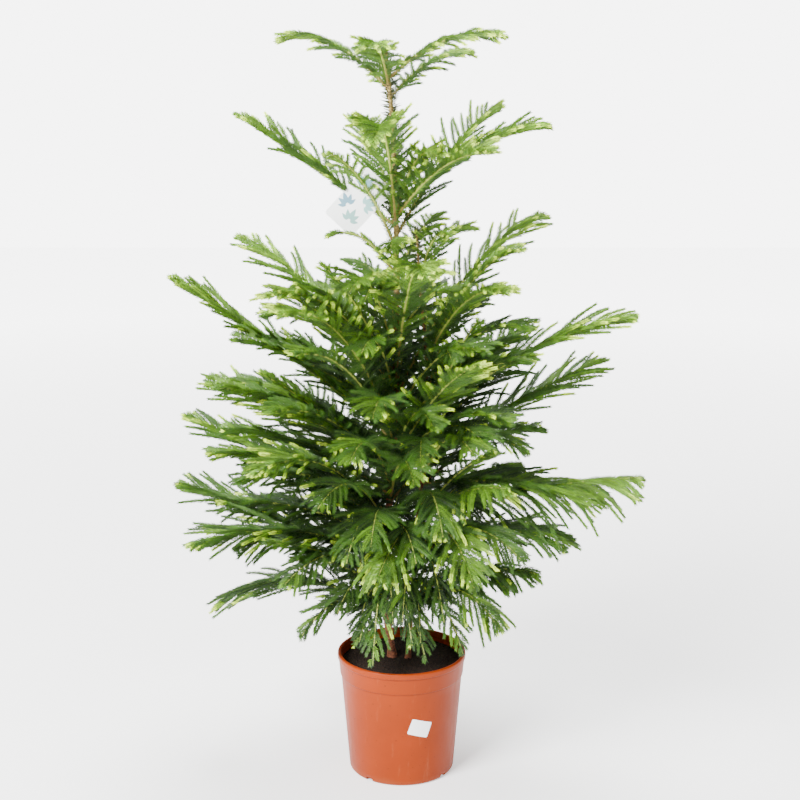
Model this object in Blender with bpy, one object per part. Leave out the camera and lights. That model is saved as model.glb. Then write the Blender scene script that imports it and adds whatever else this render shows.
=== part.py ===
# Potted Norfolk Island pine: two stems in one nursery pot, with boughs in whorls and plume-like sprays.
# Metres, +Z up. The origin is the centre of the pot's flat underside.
import math
import random
from collections import namedtuple

import bpy
from mathutils import Vector
from mathutils.bvhtree import BVHTree

# Pot
POT_HEIGHT = 0.230
RIM_RADIUS = 0.120
BASE_RADIUS = 0.098
WALL = 0.003
FLOOR = 0.004
LIP_HEIGHT = 0.012
COLLAR_DROP = 0.042
COLLAR_STEP = 0.0021
FOOT_ROUND = 0.006
POT_SIDES = 40
NOTCH_SIZE = (0.030, 0.015, 0.014)
NOTCH_ANGLES = (-128, -38, 52, 142)
GAP = 0.0003

# Soil
SOIL_TOP = 0.215
SOIL_RIPPLE = 0.0012
SOIL_FLAT_RADIUS = 0.045
SOIL_DIP = 0.003

# Blank sticker on the pot, and the card that hangs on the trunk
STICKER_SIZE = (0.040, 0.031)
STICKER_THICK = 0.0004
STICKER_ANGLE = -72.0
STICKER_HEIGHT = 0.118
STICKER_TILT = -18.0
CARD_SIZE = (0.064, 0.110)
CARD_THICK = 0.0008
CARD_CORNER = 0.006
CARD_HEIGHT = 1.088
CARD_TURN = -43.0
LOOP_HEIGHT = 0.004
LOOP_THICK = 0.0009

# Stems: centre line as (height, x, y), radius at the foot and at the tip, widening at the foot
Stem = namedtuple("Stem", "line foot tip flare sides")
FLARE_HEIGHT = 0.010
STEMS = {
    "trunk": Stem(
        line=((0.2153, -0.018, 0.010), (0.35, -0.032, 0.010), (0.50, -0.024, 0.008),
              (0.62, -0.014, 0.004), (0.94, -0.009, 0.0), (1.19, -0.0155, 0.0), (1.345, -0.030, 0.0)),
        foot=0.0072, tip=0.0038, flare=0.0035, sides=8),
    "second_stem": Stem(
        line=((0.2153, 0.012, 0.002), (0.45, 0.028, 0.005), (0.60, 0.040, 0.008),
              (0.74, 0.047, 0.010), (0.93, 0.032, 0.012), (1.02, 0.026, 0.014)),
        foot=0.0048, tip=0.0020, flare=0.0020, sides=8),
}
STEM_STEP = 0.075
FLARE_RINGS = (0.006, 0.016)
STEM_NEEDLES = {"trunk": (1.08, 1.335, 16), "second_stem": (0.95, 1.015, 4)}

# Each whorl's height on its stem, how far its twigs nod as a share of their length, and its boughs:
# compass angle in degrees, reach, rise of the tip, and arch over the chord
Whorl = namedtuple("Whorl", "name stem height nod boughs")
Bough = namedtuple("Bough", "angle reach rise arch")
WHORLS = (
    Whorl("crown", "trunk", 1.268, 0.35, (
        Bough(40, 0.18, 0.074, 0.020), Bough(105, 0.15, 0.066, 0.020), Bough(170, 0.19, 0.082, 0.032),
        Bough(260, 0.17, 0.064, 0.026), Bough(340, 0.20, 0.080, 0.025))),
    Whorl("upper", "trunk", 1.034, 0.22, (
        Bough(45, 0.265, 0.204, 0.030), Bough(105, 0.25, 0.175, 0.030), Bough(165, 0.29, 0.182, 0.004),
        Bough(262, 0.25, 0.150, 0.080), Bough(308, 0.245, 0.125, 0.030), Bough(345, 0.265, 0.165, 0.030))),
    Whorl("short", "trunk", 0.945, 0.35, (
        Bough(60, 0.15, 0.095, 0.020), Bough(200, 0.12, 0.070, 0.030), Bough(265, 0.12, 0.045, 0.030))),
    Whorl("middle", "trunk", 0.740, 0.22, (
        Bough(30, 0.31, 0.295, 0.062), Bough(95, 0.33, 0.165, 0.040), Bough(150, 0.33, 0.240, 0.035),
        Bough(225, 0.29, 0.190, 0.055), Bough(280, 0.27, 0.225, 0.080))),
    Whorl("wide", "trunk", 0.655, 0.08, (
        Bough(190, 0.400, 0.285, 0.012), Bough(235, 0.31, 0.255, 0.070))),
    Whorl("spread", "trunk", 0.580, 0.12, (
        Bough(18, 0.415, 0.190, 0.015), Bough(70, 0.34, 0.170, 0.030), Bough(155, 0.378, 0.134, 0.010),
        Bough(215, 0.255, 0.135, 0.020), Bough(300, 0.27, 0.230, 0.030))),
    Whorl("broad", "trunk", 0.470, 0.15, (
        Bough(165, 0.387, 0.188, 0.016), Bough(195, 0.32, 0.160, 0.045), Bough(228, 0.32, 0.160, 0.065))),
    Whorl("low", "trunk", 0.400, 0.15, (
        Bough(175, 0.386, 0.142, 0.010), Bough(205, 0.365, 0.076, 0.045))),
    Whorl("skirt", "trunk", 0.300, 0.25, (
        Bough(165, 0.335, -0.010, 0.065), Bough(212, 0.175, -0.010, 0.050), Bough(250, 0.13, -0.015, 0.040))),
    Whorl("side_tip", "second_stem", 0.930, 0.30, (
        Bough(40, 0.12, 0.085, 0.030), Bough(300, 0.09, 0.085, 0.030))),
    Whorl("side_upper", "second_stem", 0.790, 0.30, (
        Bough(300, 0.25, 0.155, 0.045), Bough(335, 0.18, 0.200, 0.045))),
    Whorl("side_middle", "second_stem", 0.670, 0.20, (
        Bough(35, 0.23, 0.150, 0.030), Bough(345, 0.37, 0.208, 0.032))),
    Whorl("side_broad", "second_stem", 0.485, 0.70, (
        Bough(35, 0.24, 0.080, 0.030), Bough(254, 0.25, -0.020, 0.020), Bough(308, 0.235, 0.110, 0.020),
        Bough(350, 0.405, 0.090, 0.012))),
    Whorl("side_low", "second_stem", 0.400, 0.30, (
        Bough(11, 0.30, 0.036, 0.045), Bough(95, 0.37, 0.060, 0.040), Bough(290, 0.28, 0.040, 0.080))),
    Whorl("side_skirt", "second_stem", 0.310, 0.55, (
        Bough(311, 0.23, 0.032, 0.060), Bough(330, 0.25, 0.110, 0.035))),
)
WHORL_STAGGER = 0.008

# A bough over this reach has a bare limb up to LIMB_SHARE of its path, and its spray starts at the limb's tip
LIMB_REACH = 0.385
LIMB_SHARE = 0.26
LIMB_SIDES = 6
LIMB_RINGS = 5
BOUGH_ROOT_RADIUS = 0.0026
BOUGH_ROOT_SHARE = 0.75
BOUGH_TIP_RADIUS = 0.0013

# Sprays: needle-covered twigs in two rows along a three-sided stem
STEM_RINGS = 7
TWIG_SIDES = 3
TWIG_PAIRS_LEAST = 2
TWIG_PAIRS_PER_METRE = 12
TWIG_FIRST = 0.12
TWIG_LAST = 0.93
TWIG_OFFSET = 0.4
TWIG_LONGEST = 0.32
TWIG_LIMITS = (0.050, 0.105)
TWIG_PAST_TIP = 0.008
TWIG_WIDEST_AT = 0.4
TWIG_WIDE = 0.0080
TWIG_ROOT = 0.0009
TWIG_SPREAD = (62, 30)
TWIG_CLEAR = 0.0012
NEEDLE_LENGTH = 0.014
NEEDLE_RADIUS = 0.0014
NEEDLE_SHARE = 0.25
NEEDLE_SINK = 0.001
NEEDLE_TURN = 137.5
NEEDLE_LIFT = 0.7


def makeMaterial(name, colour, roughness):
    material = bpy.data.materials.new(name)
    material.use_nodes = True
    shader = material.node_tree.nodes["Principled BSDF"]
    shader.inputs["Base Color"].default_value = (*colour, 1.0)
    shader.inputs["Roughness"].default_value = roughness
    shader.inputs["Metallic"].default_value = 0.0
    return material


def makeObject(name, verts, faces, material):
    mesh = bpy.data.meshes.new(name)
    mesh.from_pydata([tuple(v) for v in verts], [], faces)
    mesh.validate()
    mesh.materials.append(material)
    item = bpy.data.objects.new(name, mesh)
    bpy.context.scene.collection.objects.link(item)
    return item


def smooth(item, angle):
    item.data.shade_smooth()
    item.data.set_sharp_from_angle(angle=math.radians(angle))


def heading(angle):
    turn = math.radians(angle)
    return Vector((math.cos(turn), math.sin(turn), 0.0))


def tube(points, radii, sides, base=None, turn=0.0, reference=Vector((0, 0, 1))):
    """Rings round a path, closed by a cap or, where the radius is nil, by a point."""
    verts = []
    rings = []
    for index, (point, radius) in enumerate(zip(points, radii)):
        ahead = points[min(index + 1, len(points) - 1)]
        behind = points[max(index - 1, 0)]
        along = (ahead - behind).normalized()
        if index == 0 and base is not None:
            along = base
        across = along.cross(reference).normalized()
        above = across.cross(along)
        if radius <= 0.0:
            rings.append([len(verts)])
            verts.append(point.copy())
            continue
        rings.append(list(range(len(verts), len(verts) + sides)))
        for side in range(sides):
            a = turn + math.tau * side / sides
            verts.append(point + across * (radius * math.cos(a)) + above * (radius * math.sin(a)))
    faces = []
    for low, high in zip(rings, rings[1:]):
        for side in range(sides):
            nxt = (side + 1) % sides
            if len(high) == 1:
                faces.append((low[nxt], low[side], high[0]))
            elif len(low) == 1:
                faces.append((low[0], high[side], high[nxt]))
            else:
                faces.append((low[nxt], low[side], high[side], high[nxt]))
    if len(rings[0]) > 1:
        faces.append(tuple(rings[0]))
    if len(rings[-1]) > 1:
        faces.append(tuple(reversed(rings[-1])))
    return verts, faces


def fuse(body, parts):
    """One union of a body with the parts rooted in it, applied."""
    group = bpy.data.collections.new(body.name + "_parts")
    bpy.context.scene.collection.children.link(group)
    for part in parts:
        group.objects.link(part)
    union = body.modifiers.new("union", "BOOLEAN")
    union.operation = "UNION"
    union.operand_type = "COLLECTION"
    union.collection = group
    union.solver = "EXACT"
    bpy.context.view_layer.update()
    graph = bpy.context.evaluated_depsgraph_get()
    fused = bpy.data.meshes.new_from_object(body.evaluated_get(graph))
    body.modifiers.clear()
    body.data = fused
    for part in parts:
        bpy.data.objects.remove(part)
    bpy.data.collections.remove(group)


class StemLine:
    """Centre line and radius of a stem by height, and the straight runs between its rings."""

    def __init__(self, stem):
        self.stem = stem
        self.bottom = stem.line[0][0]
        self.top = stem.line[-1][0]
        count = round((self.top - self.bottom) / STEM_STEP)
        self.rings = [self.bottom] + [self.bottom + rise for rise in FLARE_RINGS]
        self.rings += [self.bottom + (self.top - self.bottom) * (i + 1) / count for i in range(count)]

    def point(self, height):
        line = self.stem.line
        index = 0
        while index < len(line) - 2 and height > line[index + 1][0]:
            index += 1
        before = Vector(line[max(index - 1, 0)])
        start = Vector(line[index])
        end = Vector(line[index + 1])
        after = Vector(line[min(index + 2, len(line) - 1)])
        span = end[0] - start[0]
        t = (height - start[0]) / span
        slopeIn = (end - before) * (span / (end[0] - before[0]))
        slopeOut = (after - start) * (span / (after[0] - start[0]))
        place = start * (2 * t**3 - 3 * t**2 + 1) + slopeIn * (t**3 - 2 * t**2 + t)
        place += end * (3 * t**2 - 2 * t**3) + slopeOut * (t**3 - t**2)
        return Vector((place[1], place[2], height))

    def radius(self, height):
        share = (height - self.bottom) / (self.top - self.bottom)
        plain = self.stem.foot + (self.stem.tip - self.stem.foot) * share
        return plain + self.stem.flare * math.exp((self.bottom - height) / FLARE_HEIGHT)

    def run(self, height):
        """Centre, radius and direction on the straight run that holds this height."""
        index = 0
        while index < len(self.rings) - 2 and height > self.rings[index + 1]:
            index += 1
        low, high = self.rings[index], self.rings[index + 1]
        share = (height - low) / (high - low)
        start, end = self.point(low), self.point(high)
        radius = self.radius(low) * (1 - share) + self.radius(high) * share
        return start.lerp(end, share), radius, (end - start).normalized()

    def barkDistance(self, radius, angle):
        """How far the many-sided bark reaches towards a compass angle."""
        step = 360.0 / self.stem.sides
        offCorner = abs((angle + step / 2) % step - step / 2)
        return radius * math.cos(math.radians(offCorner))


class BoughLine:
    """Path of one bough from the stem's bark out to its tip."""

    def __init__(self, stem, height, bough, nod):
        centre, radius, along = stem.run(height)
        self.level = heading(bough.angle)
        self.out = (self.level - along * self.level.dot(along)).normalized()
        self.foot = centre + self.out * (stem.barkDistance(radius, bough.angle) + GAP)
        self.bough = bough
        self.nod = nod
        self.thick = min(BOUGH_ROOT_RADIUS, BOUGH_ROOT_SHARE * radius)

    def point(self, t):
        bough = self.bough
        lift = bough.rise * t + 4.0 * bough.arch * t * (1.0 - t)
        return self.foot + self.level * (bough.reach * t) + Vector((0, 0, lift))

    def along(self, t):
        return (self.point(min(t + 0.01, 1.0)) - self.point(max(t - 0.01, 0.0))).normalized()

    def radius(self, t):
        return self.thick + (min(BOUGH_TIP_RADIUS, self.thick) - self.thick) * t


def twigShape(root, direction, length, droop, wide):
    """A slim three-sided core, widest a third of the way out, whose end nods."""
    points = []
    for share in (0.0, TWIG_WIDEST_AT, 1.0):
        points.append(root + direction * (length * share) - Vector((0, 0, droop * length * share**2)))
    return tube(points, (TWIG_ROOT, wide, 0.0), TWIG_SIDES, turn=math.pi / 2)


def tree(verts, faces):
    return BVHTree.FromPolygons([tuple(v) for v in verts], faces)


class Room:
    """What has been placed so far, so that a new twig can be tested against it."""

    def __init__(self):
        self.trees = {}

    def add(self, name, verts, faces):
        self.trees.setdefault(name, []).append(tree(verts, faces))

    def addObject(self, item):
        verts = [v.co.copy() for v in item.data.vertices]
        faces = [tuple(p.vertices) for p in item.data.polygons]
        self.add(item.name, verts, faces)

    def free(self, name, verts, faces):
        trial = tree(verts, faces)
        for other, placed in self.trees.items():
            if other != name and any(trial.overlap(one) for one in placed):
                return False
        return True


def lathe(profile, sides):
    """A closed solid turned round Z from (radius, height) points; both ends lie on the axis."""
    verts = []
    rings = []
    for radius, height in profile:
        if radius == 0.0:
            rings.append([len(verts)])
            verts.append(Vector((0, 0, height)))
            continue
        rings.append(list(range(len(verts), len(verts) + sides)))
        for side in range(sides):
            a = math.tau * side / sides
            verts.append(Vector((radius * math.cos(a), radius * math.sin(a), height)))
    faces = []
    for low, high in zip(rings, rings[1:]):
        for side in range(sides):
            nxt = (side + 1) % sides
            if len(low) == 1:
                faces.append((low[0], high[nxt], high[side]))
            elif len(high) == 1:
                faces.append((low[side], low[nxt], high[0]))
            else:
                faces.append((low[side], low[nxt], high[nxt], high[side]))
    return verts, faces


def wallRadius(height):
    """Radius of the pot's tapering outer wall, below the collar."""
    top = POT_HEIGHT - LIP_HEIGHT
    return BASE_RADIUS + (RIM_RADIUS - 2 * COLLAR_STEP - BASE_RADIUS) * height / top


def arc(centre, radius, start, end, steps):
    points = []
    for step in range(steps + 1):
        a = math.radians(start + (end - start) * step / steps)
        points.append((centre[0] + radius * math.cos(a), centre[1] + radius * math.sin(a)))
    return points


def makePot(material):
    lipBottom = POT_HEIGHT - LIP_HEIGHT
    collarBottom = POT_HEIGHT - COLLAR_DROP
    foot = wallRadius(FOOT_ROUND)
    profile = [(0.0, 0.0)]
    profile += arc((foot - FOOT_ROUND, FOOT_ROUND), FOOT_ROUND, -90, 0, 3)
    profile += [(wallRadius(collarBottom), collarBottom),
                (wallRadius(collarBottom) + COLLAR_STEP, collarBottom + COLLAR_STEP),
                (wallRadius(lipBottom) + COLLAR_STEP, lipBottom),
                (RIM_RADIUS - 0.0006, lipBottom + 0.0010),
                (RIM_RADIUS, lipBottom + 0.0035),
                (RIM_RADIUS, POT_HEIGHT - 0.0030),
                (RIM_RADIUS - 0.0018, POT_HEIGHT),
                (RIM_RADIUS - 0.0045, POT_HEIGHT),
                (RIM_RADIUS - 0.0060, POT_HEIGHT - 0.0030),
                (wallRadius(FLOOR) - WALL, FLOOR),
                (0.0, FLOOR)]
    pot = makeObject("pot", *lathe(profile, POT_SIDES), material)
    for index, angle in enumerate(NOTCH_ANGLES):
        bpy.ops.mesh.primitive_cube_add(size=1.0)
        cutter = bpy.context.object
        cutter.name = f"notch_cutter_{index + 1}"
        cutter.scale = NOTCH_SIZE
        cutter.location = heading(angle) * BASE_RADIUS
        cutter.rotation_euler = (0, 0, math.radians(angle))
        cutter.hide_render = True
        cutter.display_type = "WIRE"
        cut = pot.modifiers.new(f"notch_{index + 1}", "BOOLEAN")
        cut.operation = "DIFFERENCE"
        cut.object = cutter
    smooth(pot, 35)
    return pot


def makeSoil(material):
    rng = random.Random(7)
    inner = wallRadius(FLOOR) - WALL
    rim = RIM_RADIUS - 0.0060
    slope = (rim - inner) / (POT_HEIGHT - 0.0030 - FLOOR)
    bottom = FLOOR + GAP
    edge = SOIL_TOP - SOIL_DIP
    profile = [(0.0, bottom), (inner - 2 * GAP, bottom)]
    profile += [(inner + slope * (edge - FLOOR) - 2 * GAP, edge)]
    profile += [(0.080, SOIL_TOP), (SOIL_FLAT_RADIUS, SOIL_TOP), (0.0, SOIL_TOP)]
    verts, faces = lathe(profile, POT_SIDES // 2)
    for vert in verts:
        if vert.z > edge - GAP and vert.xy.length > SOIL_FLAT_RADIUS + GAP:
            vert.z += rng.uniform(-SOIL_RIPPLE, 0.0)
    soil = makeObject("soil", verts, faces, material)
    smooth(soil, 40)
    return soil


def makeSticker(material):
    width, height = STICKER_SIZE
    columns = 8
    tilt = math.radians(STICKER_TILT)
    verts = []
    for layer in (0, 1):
        for row in (-0.5, 0.5):
            for column in range(columns + 1):
                u = width * (column / columns - 0.5)
                v = height * row
                across = u * math.cos(tilt) - v * math.sin(tilt)
                level = STICKER_HEIGHT + u * math.sin(tilt) + v * math.cos(tilt)
                radius = wallRadius(level) + GAP + STICKER_THICK * layer
                a = math.radians(STICKER_ANGLE) + across / radius
                verts.append(Vector((radius * math.cos(a), radius * math.sin(a), level)))
    row = columns + 1
    layer = 2 * row
    faces = []
    for c in range(columns):
        faces.append((layer + c, layer + c + 1, layer + row + c + 1, layer + row + c))
        faces.append((c, row + c, row + c + 1, c + 1))
        faces.append((c, c + 1, layer + c + 1, layer + c))
        faces.append((row + c + 1, row + c, layer + row + c, layer + row + c + 1))
    faces.append((0, layer, layer + row, row))
    faces.append((columns, row + columns, layer + row + columns, layer + columns))
    return makeObject("pot_sticker", verts, faces, material)


def makeCard(line, material):
    """A care card with rounded corners, hung by its corner from a loop round the trunk."""
    width, length = CARD_SIZE
    outline = []
    for corner, start in enumerate((0, 90, 180, 270)):
        x = (width / 2 - CARD_CORNER) * (1 if corner in (0, 3) else -1)
        z = (length / 2 - CARD_CORNER) * (1 if corner in (0, 1) else -1)
        outline += arc((x, z), CARD_CORNER, start, start + 90, 2)
    turn = math.radians(CARD_TURN)
    centre, radius, _ = line.run(CARD_HEIGHT)
    loop = radius + GAP
    hang = Vector((width / 2, 0, length / 2)) - Vector((1, 0, 1)) * CARD_CORNER * 0.3
    verts = []
    for y in (-CARD_THICK, 0.0):
        for x, z in outline:
            out = Vector((x, 0, z)) - hang
            spot = Vector((out.x * math.cos(turn) - out.z * math.sin(turn), y,
                           out.x * math.sin(turn) + out.z * math.cos(turn)))
            verts.append(centre + spot - Vector((loop + LOOP_THICK * 0.5, 0, 0)))
    count = len(outline)
    faces = [tuple(range(count)), tuple(reversed(range(count, 2 * count)))]
    for i in range(count):
        nxt = (i + 1) % count
        faces.append((nxt, i, count + i, count + nxt))
    card = makeObject("hang_card", verts, faces, material)
    low = -LOOP_HEIGHT / 2
    rings = ((loop, low), (loop + LOOP_THICK, low), (loop + LOOP_THICK, -low), (loop, -low))
    verts = []
    for radius, level in rings:
        for side in range(line.stem.sides):
            a = math.tau * side / line.stem.sides
            verts.append(centre + Vector((radius * math.cos(a), radius * math.sin(a), level)))
    faces = []
    sides = line.stem.sides
    for ring in range(4):
        after = (ring + 1) % 4
        for side in range(sides):
            nxt = (side + 1) % sides
            faces.append((ring * sides + side, ring * sides + nxt, after * sides + nxt, after * sides + side))
    fuse(card, [makeObject("card_loop", verts, faces, material)])
    return card


def makeStem(name, line, material):
    points = [line.point(h) for h in line.rings]
    radii = [line.radius(h) for h in line.rings]
    up = Vector((0, 0, 1))
    shape = tube(points, radii, line.stem.sides, base=up, reference=Vector((0, 1, 0)))
    return makeObject(name, *shape, material)


def needle(root, direction, length, radius):
    tip = root + direction * length
    return tube([root - direction * NEEDLE_SINK, tip], (radius, 0.0), TWIG_SIDES)


def makeStemNeedles(name, line, room, material):
    rng = random.Random(name)
    bottom, top, count = STEM_NEEDLES[name]
    parts = []
    for index in range(count):
        height = bottom + (top - bottom) * (index + 0.5) / count
        root, radius, along = line.run(height)
        direction = (heading(index * NEEDLE_TURN + rng.uniform(-10, 10)) + along * NEEDLE_LIFT).normalized()
        verts, faces = needle(root, direction, radius + NEEDLE_LENGTH, NEEDLE_RADIUS)
        if room.free(name, verts, faces):
            parts.append(makeObject(f"{name}_needle", verts, faces, material))
    return parts


def boughName(whorl, index):
    return f"{whorl.name}_{index + 1}"


def boughLines(lines):
    result = []
    for whorl in WHORLS:
        for index, bough in enumerate(whorl.boughs):
            height = whorl.height + WHORL_STAGGER * (index - (len(whorl.boughs) - 1) / 2)
            result.append((boughName(whorl, index), BoughLine(lines[whorl.stem], height, bough, whorl.nod)))
    return result


def sprayStart(line):
    return LIMB_SHARE if line.bough.reach > LIMB_REACH else 0.0


def makeLimb(name, line, material):
    shares = [LIMB_SHARE * i / (LIMB_RINGS - 1) for i in range(LIMB_RINGS)]
    points = [line.point(t) for t in shares]
    radii = [line.radius(t) for t in shares]
    return makeObject(f"{name}_limb", *tube(points, radii, LIMB_SIDES, base=line.out), material)


def stemShares(line):
    start = sprayStart(line)
    return [start + (1.0 - start) * i / (STEM_RINGS - 1) for i in range(STEM_RINGS)]


def stemSpot(line, t):
    """A point on the straight run between two rings of a spray's stem."""
    shares = stemShares(line)
    step = shares[1] - shares[0]
    index = min(int((t - shares[0]) / step), STEM_RINGS - 2)
    return line.point(shares[index]).lerp(line.point(shares[index + 1]), (t - shares[index]) / step)


def sprayStem(line):
    start = sprayStart(line)
    shares = stemShares(line)
    points = [line.point(t) for t in shares]
    radii = [line.radius(t) for t in shares]
    base = line.out
    if start > 0.0:
        base = line.along(start)
        points[0] = points[0] + base * GAP
    radii[-2] = BOUGH_TIP_RADIUS * 1.9
    radii[-1] = 0.0
    return tube(points, radii, TWIG_SIDES, base=base, turn=math.pi / 2)


def twigLength(reach, t):
    """Twigs are longest near the middle of a bough and short at both its ends."""
    longest = min(max(TWIG_LONGEST * reach, TWIG_LIMITS[0]), TWIG_LIMITS[1])
    return longest * math.sin(math.pi * (0.17 + 0.70 * t)) ** 0.8


def growTwigs(line, rng):
    """Twigs in two rows, as (root, direction, length, droop)."""
    reach = line.bough.reach
    start = sprayStart(line)
    first = start + TWIG_FIRST * (1.0 - start)
    pairs = TWIG_PAIRS_LEAST + round(reach * TWIG_PAIRS_PER_METRE)
    step = (TWIG_LAST - first) / (pairs - 1)
    twigs = []
    for index in range(pairs):
        t = first + step * index
        along = line.along(t)
        side = along.cross(Vector((0, 0, 1))).normalized()
        above = side.cross(along)
        for row in (-1, 1):
            here = t - TWIG_OFFSET * step * max(row, 0)
            opening = TWIG_SPREAD[0] + (TWIG_SPREAD[1] - TWIG_SPREAD[0]) * t
            spread = math.radians(opening + rng.uniform(-6, 6))
            direction = along * math.cos(spread) + side * (row * math.sin(spread))
            direction += above * rng.uniform(0.0, 0.16)
            length = twigLength(reach, here) * rng.uniform(0.85, 1.1)
            length = min(length, (1.0 - here) * reach / math.cos(spread) + TWIG_PAST_TIP)
            nod = line.nod * rng.uniform(0.6, 1.3)
            twigs.append((stemSpot(line, here), direction.normalized(), length, nod))
    return twigs


def makeSpray(name, line, room, material):
    rng = random.Random(name)
    stemVerts, stemFaces = sprayStem(line)
    body = makeObject(name, stemVerts, stemFaces, material)
    parts = []
    for root, direction, length, droop in growTwigs(line, rng):
        trial = twigShape(root, direction, length + TWIG_CLEAR, droop, TWIG_WIDE + TWIG_CLEAR)
        if not room.free(name, *trial):
            continue
        verts, faces = twigShape(root, direction, length, droop, TWIG_WIDE)
        room.add(name, verts, faces)
        parts.append(makeObject(f"{name}_twig", verts, faces, material))
        if rng.random() < NEEDLE_SHARE:
            nod = Vector((0, 0, droop * length * TWIG_WIDEST_AT**2))
            spot = root + direction * (length * TWIG_WIDEST_AT) - nod
            lift = (direction * NEEDLE_LIFT + Vector((0, 0, rng.choice((-1.0, 1.0))))).normalized()
            spike = needle(spot, lift, NEEDLE_LENGTH, NEEDLE_RADIUS)
            if room.free(name, *spike):
                room.add(name, *spike)
                parts.append(makeObject(f"{name}_needle", *spike, material))
    fuse(body, parts)
    return body


def main():
    for item in list(bpy.data.objects):
        bpy.data.objects.remove(item)
    clay = makeMaterial("pot_plastic", (0.60, 0.14, 0.04), 0.45)
    peat = makeMaterial("soil_peat", (0.030, 0.018, 0.012), 0.95)
    bark = makeMaterial("bark", (0.23, 0.10, 0.05), 0.85)
    twigBark = makeMaterial("bough_bark", (0.38, 0.30, 0.10), 0.70)
    foliage = makeMaterial("foliage", (0.06, 0.16, 0.02), 0.60)
    card = makeMaterial("card", (0.85, 0.86, 0.84), 0.50)

    lines = {name: StemLine(stem) for name, stem in STEMS.items()}
    boughs = boughLines(lines)
    room = Room()
    pot = makePot(clay)
    room.addObject(pot)
    room.addObject(makeSoil(peat))
    makeSticker(card)
    room.addObject(makeCard(lines["trunk"], card))
    stems = {name: makeStem(name, line, bark) for name, line in lines.items()}
    for stem in stems.values():
        room.addObject(stem)
    for name, line in boughs:
        if sprayStart(line) > 0.0:
            room.addObject(makeLimb(name, line, twigBark))
    for name, line in boughs:
        room.add(name, *sprayStem(line))
    for name, line in lines.items():
        needles = makeStemNeedles(name, line, room, foliage)
        for part in needles:
            room.addObject(part)
        fuse(stems[name], needles)
    for name, line in boughs:
        makeSpray(name, line, room, foliage)


main()
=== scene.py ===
import math
import random

import bpy
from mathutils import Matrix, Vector, noise


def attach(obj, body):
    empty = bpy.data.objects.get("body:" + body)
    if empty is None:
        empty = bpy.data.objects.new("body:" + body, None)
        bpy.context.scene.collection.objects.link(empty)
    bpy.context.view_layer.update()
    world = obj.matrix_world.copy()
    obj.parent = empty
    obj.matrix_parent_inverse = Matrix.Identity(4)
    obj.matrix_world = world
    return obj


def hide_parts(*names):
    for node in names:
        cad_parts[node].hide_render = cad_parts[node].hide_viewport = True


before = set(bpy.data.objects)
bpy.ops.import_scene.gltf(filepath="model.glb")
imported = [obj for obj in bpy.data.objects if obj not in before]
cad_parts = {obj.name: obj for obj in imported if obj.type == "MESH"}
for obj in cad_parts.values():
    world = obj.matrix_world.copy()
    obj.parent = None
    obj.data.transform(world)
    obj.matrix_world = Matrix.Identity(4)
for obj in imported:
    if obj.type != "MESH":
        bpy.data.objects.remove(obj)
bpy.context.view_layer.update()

up = Vector((0, 0, 1))


def linked(name, data):
    item = bpy.data.objects.new(name, data)
    bpy.context.scene.collection.objects.link(item)
    return item


def plainMesh(item):
    # the item's mesh as its modifiers leave it; the item itself goes
    bpy.context.view_layer.update()
    graph = bpy.context.evaluated_depsgraph_get()
    mesh = bpy.data.meshes.new_from_object(item.evaluated_get(graph))
    bpy.data.objects.remove(item)
    return mesh


class Socket:
    # A node's output. Python's operators on it add the nodes that work the value out.

    def __init__(self, graph, output):
        self.graph = graph
        self.output = output

    def __add__(self, other):
        return self.graph.maths("ADD", self, other)

    def __radd__(self, other):
        return self.graph.maths("ADD", other, self)

    def __sub__(self, other):
        return self.graph.maths("SUBTRACT", self, other)

    def __rsub__(self, other):
        return self.graph.maths("SUBTRACT", other, self)

    def __mul__(self, other):
        return self.graph.maths("MULTIPLY", self, other)

    def __rmul__(self, other):
        return self.graph.maths("MULTIPLY", other, self)


class Graph:
    # A node tree, for a material or a shape.

    def __init__(self, tree):
        self.tree = tree

    def feed(self, socket, value):
        if isinstance(value, Socket):
            self.tree.links.new(value.output, socket)
        elif socket.type == "RGBA" and len(value) == 3:
            socket.default_value = (*value, 1.0)
        else:
            socket.default_value = value

    def node(self, kind, settings=None, values=None, out=0):
        made = self.tree.nodes.new(kind)
        for name, setting in (settings or {}).items():
            if name != "stops":
                setattr(made, name, setting)
                continue
            ramp = made.color_ramp.elements
            while len(ramp) < len(setting):
                ramp.new(0.5)
            for stop, (place, colour) in zip(ramp, setting):
                stop.position = place
                stop.color = (*colour, 1.0)
        for name, value in (values or {}).items():
            self.feed(made.inputs[name], value)
        return Socket(self, made.outputs[out])

    def maths(self, operation, first, second):
        vector = any(isinstance(v, Socket) and v.output.type == "VECTOR" for v in (first, second))
        kind = "ShaderNodeVectorMath" if vector else "ShaderNodeMath"
        return self.node(kind, {"operation": operation}, {0: first, 1: second})


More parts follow.
